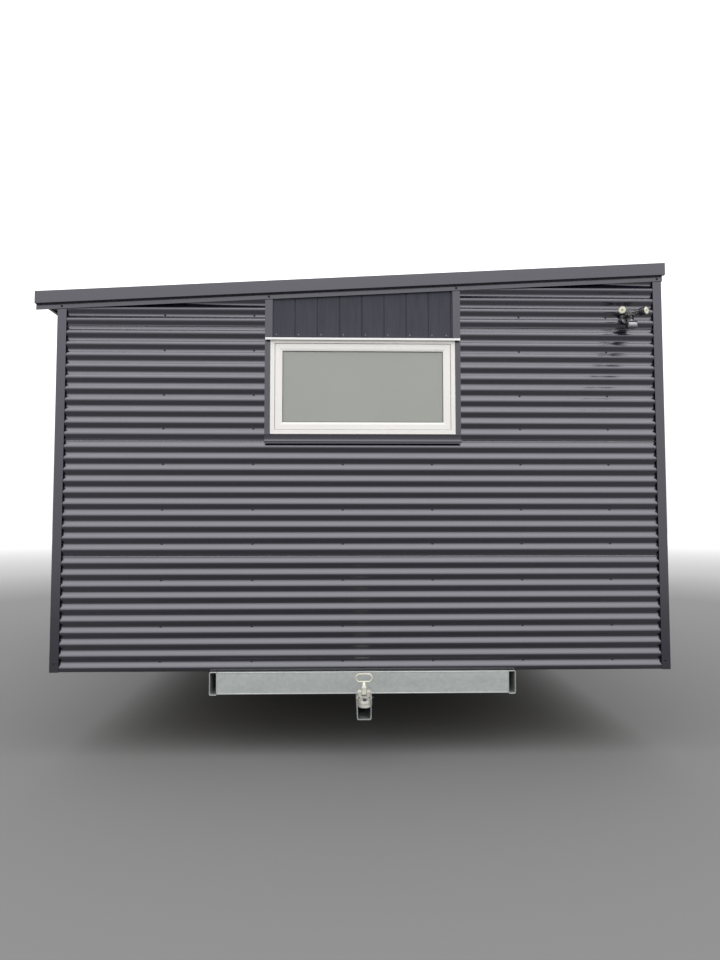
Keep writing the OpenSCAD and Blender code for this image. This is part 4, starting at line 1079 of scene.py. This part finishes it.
# %% [markdown]
# ### Entrance wall light
# A short cylinder on a round plate, with a frosted lens set behind a thin bezel at its outer end.

# %% Entrance wall light
ENTRY_AT, ENTRY_RISE = 0.190, 2.045
BEZEL = [(0.0290, 0.0600), (0.0340, 0.0605), (0.0352, 0.0620), (0.0352, 0.0660),
         (0.0338, 0.0672), (0.0300, 0.0672), (0.0290, 0.0660)]
GLOW = [(0.0289, 0.0622), (0.0289, 0.0652), (0.0200, 0.0662), (0.0, 0.0666)]
entry = facing_out("left", ENTRY_AT, STEEL_T, CLAD_Z + ENTRY_RISE)
bezel, glow = blanks(2)
turned(bezel, entry, BEZEL, 48, loop=True)
make(bezel, "wall_light_rim", "house", grey_metal, sharp=30)
turned(glow, entry, GLOW, 48)
make(glow, "wall_light_lens", "house", lens_frosted, sharp=30)

# %% [markdown]
# ## Chassis details
# The channel between the rails is rolled steel: its upper and lower edges are round, and each of
# them shows as one bright line. Beads of weld join it to the rails and the drawbar to the channel.
# A weld bead is a row of overlapping ripples, so each bead is a rod whose radius rises and falls.

# %% Chassis details
channel_lo, channel_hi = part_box("front_channel")
bar_lo, bar_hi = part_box("drawbar")
EDGE_R, EDGE_PROUD, EDGE_SHORT = 0.0042, 0.0018, 0.004
BEAD_R, RIPPLE = 0.0032, 0.55
BEAD_END, BEAD_MEAN, BEAD_SWELL = 0.55, 0.86, 0.14
RAIL_IN, RAIL_CLEAR = 0.001, 0.012
BAR_FROM, BAR_TO = 0.008, 0.060
rolled, beads = blanks(2)
edge_y = channel_lo.y + EDGE_R - EDGE_PROUD
for z in (channel_lo.z + EDGE_R, channel_hi.z - EDGE_R):
    tube(rolled, Matrix(), [(channel_lo.x + EDGE_SHORT, edge_y, z),
                            (channel_hi.x - EDGE_SHORT, edge_y, z)], EDGE_R, 16)
make(rolled, "channel_edges", "house", galvanised, sharp=40)


def weld(mesh, a, b):
    """A rippled weld bead from a to b."""
    a, b = Vector(a), Vector(b)
    count = max(4, int((b - a).length / (BEAD_R * RIPPLE)))
    path = [a + (b - a) * i / count for i in range(count + 1)]
    swell = [BEAD_R * (BEAD_END if i in (0, count) else BEAD_MEAN + BEAD_SWELL * (-1) ** i)
             for i in range(count + 1)]
    tube(mesh, Matrix(), path, swell, 10)


for x in (channel_lo.x, channel_hi.x):
    y = channel_lo.y + RAIL_IN
    weld(beads, (x, y, channel_lo.z + RAIL_CLEAR), (x, y, channel_hi.z - RAIL_CLEAR))
for x in (bar_lo.x, bar_hi.x):
    near, far = channel_lo.y + BAR_FROM, channel_lo.y + BAR_TO
    weld(beads, (x, near, channel_lo.z), (x, far, channel_lo.z))
make(beads, "weld_beads", "house", galvanised, sharp=60)

# %% [markdown]
# ## Coupling
# The coupling is one iron casting, so it has no sharp edge anywhere: a cup over the tow ball, a
# neck, a bolted block and two arched cheeks for the lever. The cup is a turned shape whose upper
# rings tip forwards one by one, which bends the dome towards the ball and leaves its dished top
# facing the front.

# %% Coupling's cup
BAR_Z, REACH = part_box("coupling_body")[0].z, 0.225
SOCKET_AT, BALL_UP, TIP = -0.065, 0.032, math.radians(30)
CUP_R, DOME_H, FULLY_TIPPED = 0.0345, 0.029, 0.85
hitch = HOUSE @ Matrix.Translation((0, -REACH, BAR_Z))
cup_place = hitch @ Matrix.Translation((0, SOCKET_AT, 0))


def tipped_ring(radius, height, tip, sides=40):
    """A level circle up to the ball's middle; above it the circle is tipped about that middle."""
    turn = Matrix.Translation((0, 0, BALL_UP)) @ Matrix.Rotation(tip, 4, "X")
    return [turn @ Vector((x, y, height - BALL_UP)) for x, y in circle(radius, sides)]


socket = [(0.0, 0.038), (0.012, 0.0365), (0.020, 0.032), (0.0255, 0.022), (0.0255, 0.008),
          (0.0350, 0.008), (0.0370, 0.010), (0.0370, 0.0145), (0.0350, 0.0170), (CUP_R, BALL_UP)]
dome_turns = [math.radians(a) for a in (12, 24, 36, 46, 54, 60, 64)]
dish = [(0.0146, 0.0590), (0.0136, 0.0586), (0.0130, 0.0560), (0.0124, 0.0515), (0.0060, 0.0500),
        (0.0, 0.0498)]
cup = [(r, h, 0) for r, h in socket]
cup += [(CUP_R * math.cos(t), BALL_UP + DOME_H * math.sin(t),
         TIP * min(1, math.sin(t) / FULLY_TIPPED)) for t in dome_turns]
cup += [(r, h, TIP) for r, h in dish]
casting = bmesh.new()
loft(casting, cup_place, [tipped_ring(max(r, 2 * NEEDLE), h, tip) for r, h, tip in cup])
print("cup of", len(cup), "rings")

# %% [markdown]
# ### Coupling's neck
# The neck joins the cup to the block, and gets narrower and thinner on the way. It is lofted
# through rounded sections, one for each place where its width or height changes, and is part of
# the same casting as the cup.

# %% Coupling's neck
neck = [(0.024, 0.040, 0.0, 0.048), (0.002, 0.040, 0.0, 0.048), (-0.010, 0.039, 0.001, 0.0485),
        (-0.022, 0.035, 0.003, 0.0485), (-0.032, 0.028, 0.006, 0.0475),
        (-0.038, 0.022, 0.0085, 0.046)]
LOW_R, HIGH_R = 0.003, 0.012


def rounded(half_w, low, high, r_low, r_high, steps=5):
    """A rounded rectangle in x and z."""
    corners = [(half_w - r_low, low + r_low, r_low, -90),
               (half_w - r_high, high - r_high, r_high, 0),
               (-half_w + r_high, high - r_high, r_high, 90),
               (-half_w + r_low, low + r_low, r_low, 180)]
    return [(x + r * math.cos(turn), z + r * math.sin(turn)) for x, z, r, start in corners
            for turn in (math.radians(start + 90 * i / steps) for i in range(steps + 1))]


loft(casting, hitch, [[(x, y, z) for x, z in rounded(half_w, low, high, LOW_R, HIGH_R)]
                      for y, half_w, low, high in neck])
make(casting, "coupling_cup", "house", cast_zinc, ("coupling_body",), sharp=50)

# %% [markdown]
# ### Coupling's block and cheeks
# The block is bolted down on the drawbar by its flange, and the lever swings between the two
# cheeks. They are side outlines pulled out across, with a wide bevel for the rounding of a
# casting.

# %% Coupling's block and cheeks
BLOCK_HALF, CHEEK_IN, CHEEK_OUT = 0.0485, 0.0146, 0.0405
ARCH_R, ARCH_Y, ARCH_Z = 0.020, 0.048, 0.069
FLANGE_HALF, FLANGE_AT, FLANGE_R, FLANGE_T = 0.078, 0.072, 0.010, 0.009
side_block = [(0.002, 0.0085), (0.002, 0.040), (0.006, 0.0455), (0.014, 0.048), (0.092, 0.0515),
              (0.102, 0.047), (0.128, 0.0085)]
foot = [(x, y + FLANGE_AT) for x, y in
        rounded(BLOCK_HALF, -FLANGE_HALF, FLANGE_HALF, FLANGE_R, FLANGE_R)]
arch = [(ARCH_Y + ARCH_R * math.cos(a), ARCH_Z + ARCH_R * math.sin(a))
        for a in map(math.radians, range(180, 15, -15))]
side_cheek = [(0.027, 0.046), *arch, (0.100, 0.052), (0.100, 0.046)]
block = bmesh.new()
loft(block, hitch, [[(x, y, z) for y, z in side_block] for x in (-BLOCK_HALF, BLOCK_HALF)])
loft(block, hitch, [[(x, y, z) for x, y in foot] for z in (0.0, FLANGE_T)])
for x0, x1 in ((CHEEK_IN, CHEEK_OUT), (-CHEEK_OUT, -CHEEK_IN)):
    loft(block, hitch, [[(x, y, z) for y, z in side_cheek] for x in (x0, x1)])
make(block, "coupling_block", "house", cast_zinc, bevel=0.0034, segments=3)

# %% [markdown]
# ### Pin, shade plugs and bolt
# The lever's cross pin runs out through both cheeks, with a washer at each end. Black rubber plugs
# in the dish in the cup's top and in the two bolt sockets in the casting's shoulders are painted
# shade for the dark of those recesses, and one small bolt head stands out at the side.

# %% Pin, shade plugs and bolt
PIN_Y, PIN_Z, BOLT_Z = 0.046, 0.068, 0.036
PIN_FROM, WASHER_FROM, BOLT_FROM = 0.0402, 0.0405, 0.0480
PIN_END = [(0.0060, -0.001), (0.0060, 0.0045), (0.0052, 0.0056), (0.0, 0.0058)]
PIN_WASHER = [(0.0064, 0.0002), (0.0105, 0.0002), (0.0105, 0.0020), (0.0064, 0.0020)]
SIDE_BOLT = [(0.0040, 0), (0.0040, 0.0060), (0.0066, 0.0060), (0.0066, 0.0120),
             (0.0054, 0.0132), (0.0, 0.0132)]
WELL_AT, WELL_LEAN = (0.0325, -0.003, 0.0440), math.radians(55)
# The black plugs in the bolt sockets and in the cup's dish are painted shade for those recesses.
SOCKET_SHADE_PLUG = [(0.0074, -0.006), (0.0074, 0.0024), (0.0060, 0.0032), (0.0, 0.0032)]
BOSS = [(0.0076, -0.010), (0.0108, -0.010), (0.0102, 0.0034), (0.0090, 0.0046), (0.0076, 0.0040)]
DISH_SHADE_PLUG = [(0.0126, 0.0205), (0.0126, 0.0236), (0.0110, 0.0246), (0.0060, 0.0236),
             (0.0, 0.0232)]
pins, shade_plugs_and_bolt, bosses = blanks(3)


def across(x, z, side):
    """A local frame level with the cross pin, whose z axis points sideways."""
    return (hitch @ Matrix.Translation((side * x, PIN_Y, z))
            @ Matrix.Rotation(side * math.pi / 2, 4, "Y"))


for side in (-1, 1):
    turned(pins, across(PIN_FROM, PIN_Z, side), PIN_END)
    turned(pins, across(WASHER_FROM, PIN_Z, side), PIN_WASHER, loop=True)
    well_x, well_y, well_z = WELL_AT
    well = (hitch @ Matrix.Translation((side * well_x, well_y, well_z))
            @ Matrix.Rotation(WELL_LEAN, 4, "X"))
    turned(shade_plugs_and_bolt, well, SOCKET_SHADE_PLUG)
    turned(bosses, well, BOSS, loop=True)
turned(shade_plugs_and_bolt, across(BOLT_FROM, BOLT_Z, 1), SIDE_BOLT, 6)
make(pins, "coupling_pins", "house", bolt_zinc, sharp=30)
tipped = cup_place @ Matrix.Translation((0, 0, BALL_UP)) @ Matrix.Rotation(TIP, 4, "X")
# The black plug in the dish is painted shade for the recess in the cup's top.
turned(shade_plugs_and_bolt, tipped, DISH_SHADE_PLUG, 32)
make(bosses, "bolt_bosses", "house", cast_zinc, sharp=30)
make(shade_plugs_and_bolt, "painted_shade_plugs_and_bolt", "house", rubber_black, sharp=30)

# %% [markdown]
# ## Wheel fittings
# Six wheels, each with a pressed dust cap over the hub, five wheel nuts and a tyre valve. All the
# parts of one kind are made together, since none of them moves.

# %% Wheel fittings
WHEEL_X, AXLE_Z = 1.1375, 0.232
AXLES = [3.200, 4.000, 4.800]
NUT_CIRCLE, NUTS, NUT_FOOT = 0.052, 5, -0.010
CAP = [(0.0275, -0.010), (0.0275, 0.012), (0.0262, 0.020), (0.0225, 0.025), (0.0150, 0.0275),
       (0.0, 0.0283)]
WHEEL_NUT = [(0.0125, 0), (0.0098, 0.0040), (0.0098, 0.0160), (0.0078, 0.0190), (0.0, 0.0195)]
VALVE = [(0.098, 0, 0.008), (0.098, 0, 0.020), (0.096, 0, 0.036)]
VALVE_R = [0.0052, 0.0042, 0.0040]


def wheel_hub(side, y):
    """A local frame at a wheel's middle whose z axis points out of the house."""
    return (HOUSE @ Matrix.Translation((side * WHEEL_X, y, AXLE_Z))
            @ Matrix.Rotation(side * math.pi / 2, 4, "Y"))


nuts, caps, valves = blanks(3)
hubs = [wheel_hub(side, y) for side in (-1, 1) for y in AXLES]
for hub in hubs:
    turned(caps, hub, CAP, 40)
    for x, z in circle(NUT_CIRCLE, NUTS):
        turned(nuts, hub @ Matrix.Translation((x, z, NUT_FOOT)), WHEEL_NUT, 6)
    tube(valves, hub, VALVE, VALVE_R, 14)
make(nuts, "wheel_nuts", "house", bolt_zinc, sharp=30)
make(caps, "hub_caps", "house", rim_silver, sharp=30)
make(valves, "tyre_valves", "house", rubber_black, sharp=40)

# %% [markdown]
# ### Spring clamps
# Two U-bolts clamp each spring to its axle, with a plate and nuts underneath. A U-bolt is a bent
# rod, so it is swept along its path like the entrance's handle.

# %% Spring clamps
AXLE_HALF, SPRING_X = 0.025, 0.980
CLAMP_X, CLAMP_FOOT, CLAMP_TOP, CLAMP_Y, ROD_R = 0.0285, -0.044, 0.070, 0.032, 0.0048
PLATE_X, PLATE_Y, PLATE_LOW = 0.040, 0.045, 0.0315
U_BOLT = [(-CLAMP_X, 0, CLAMP_FOOT), (-CLAMP_X, 0, CLAMP_TOP), (-0.0245, 0, CLAMP_TOP + 0.0045),
          (0.0245, 0, CLAMP_TOP + 0.0045), (CLAMP_X, 0, CLAMP_TOP), (CLAMP_X, 0, CLAMP_FOOT)]
NUT_Z, CLAMP_NUT = -0.0405, [(0.0088, 0), (0.0088, 0.0085)]
straps = bmesh.new()
for side in (-1, 1):
    for y in AXLES:
        for dy in (-CLAMP_Y, CLAMP_Y):
            spring = HOUSE @ Matrix.Translation((side * SPRING_X, y + dy, AXLE_Z))
            tube(straps, spring, U_BOLT, ROD_R)
            for dx in (-CLAMP_X, CLAMP_X):
                turned(straps, spring @ Matrix.Translation((dx, 0, NUT_Z)), CLAMP_NUT, 6)
        bar(straps, HOUSE, (side * SPRING_X - PLATE_X, y - PLATE_Y, AXLE_Z - PLATE_LOW),
            (side * SPRING_X + PLATE_X, y + PLATE_Y, AXLE_Z - AXLE_HALF - SEAT))
make(straps, "spring_clamps", "house", bolt_zinc, sharp=40)

# %% [markdown]
# ### Tyre shoulders
# A trailer tyre has ribs round its tread and a row of blocks over each shoulder, where it flexes
# most, and a moulded line round its side. Each block is a small wedge lofted across the shoulder.
# The blocks stop short of the flat where the tyre stands on the ground.

# %% Tyre shoulders
TYRE_R, TYRE_HALF, BLOCKS, BLOCK_W = 0.234, 0.0975, 44, 0.0095
STAGGER, CLEAR_OF_GROUND = 0.25, math.radians(14)
BLOCK_OUTLINE = [(-0.0040, -0.0335), (0.0008, -0.0335), (-0.0030, -0.0170), (-0.0190, -0.0010),
                 (-0.0300, -0.0005), (-0.0340, -0.0050)]
SIDE_LINES, LINE_W = (0.1560, 0.1780), 0.0035
BEAD_AT, BEAD_OUT, SIDE_SLOPE = 0.142, 0.0802, 0.412
shoulders = bmesh.new()
for hub in hubs:
    for k in range(BLOCKS):
        for flank in (-1, 1):
            radial = hub @ Matrix.Rotation(math.tau * (k + STAGGER * flank) / BLOCKS, 4, "Z")
            if (radial.to_3x3() @ Vector((1, 0, 0))).z > -math.cos(CLEAR_OF_GROUND):
                loft(shoulders, radial, [[(TYRE_R + r, y, flank * (TYRE_HALF + a))
                                          for r, a in BLOCK_OUTLINE] for y in (-BLOCK_W, BLOCK_W)])
    for radius in SIDE_LINES:
        bulge = BEAD_OUT + (radius - BEAD_AT) * SIDE_SLOPE
        turned(shoulders, hub, [(radius, bulge - 0.001), (radius, bulge + 0.0010),
                                (radius + LINE_W, bulge + 0.0025), (radius + LINE_W, bulge)],
               64, loop=True)
make(shoulders, "tyre_shoulders", "house", tyre_rubber, bevel=0.0008, segments=1)
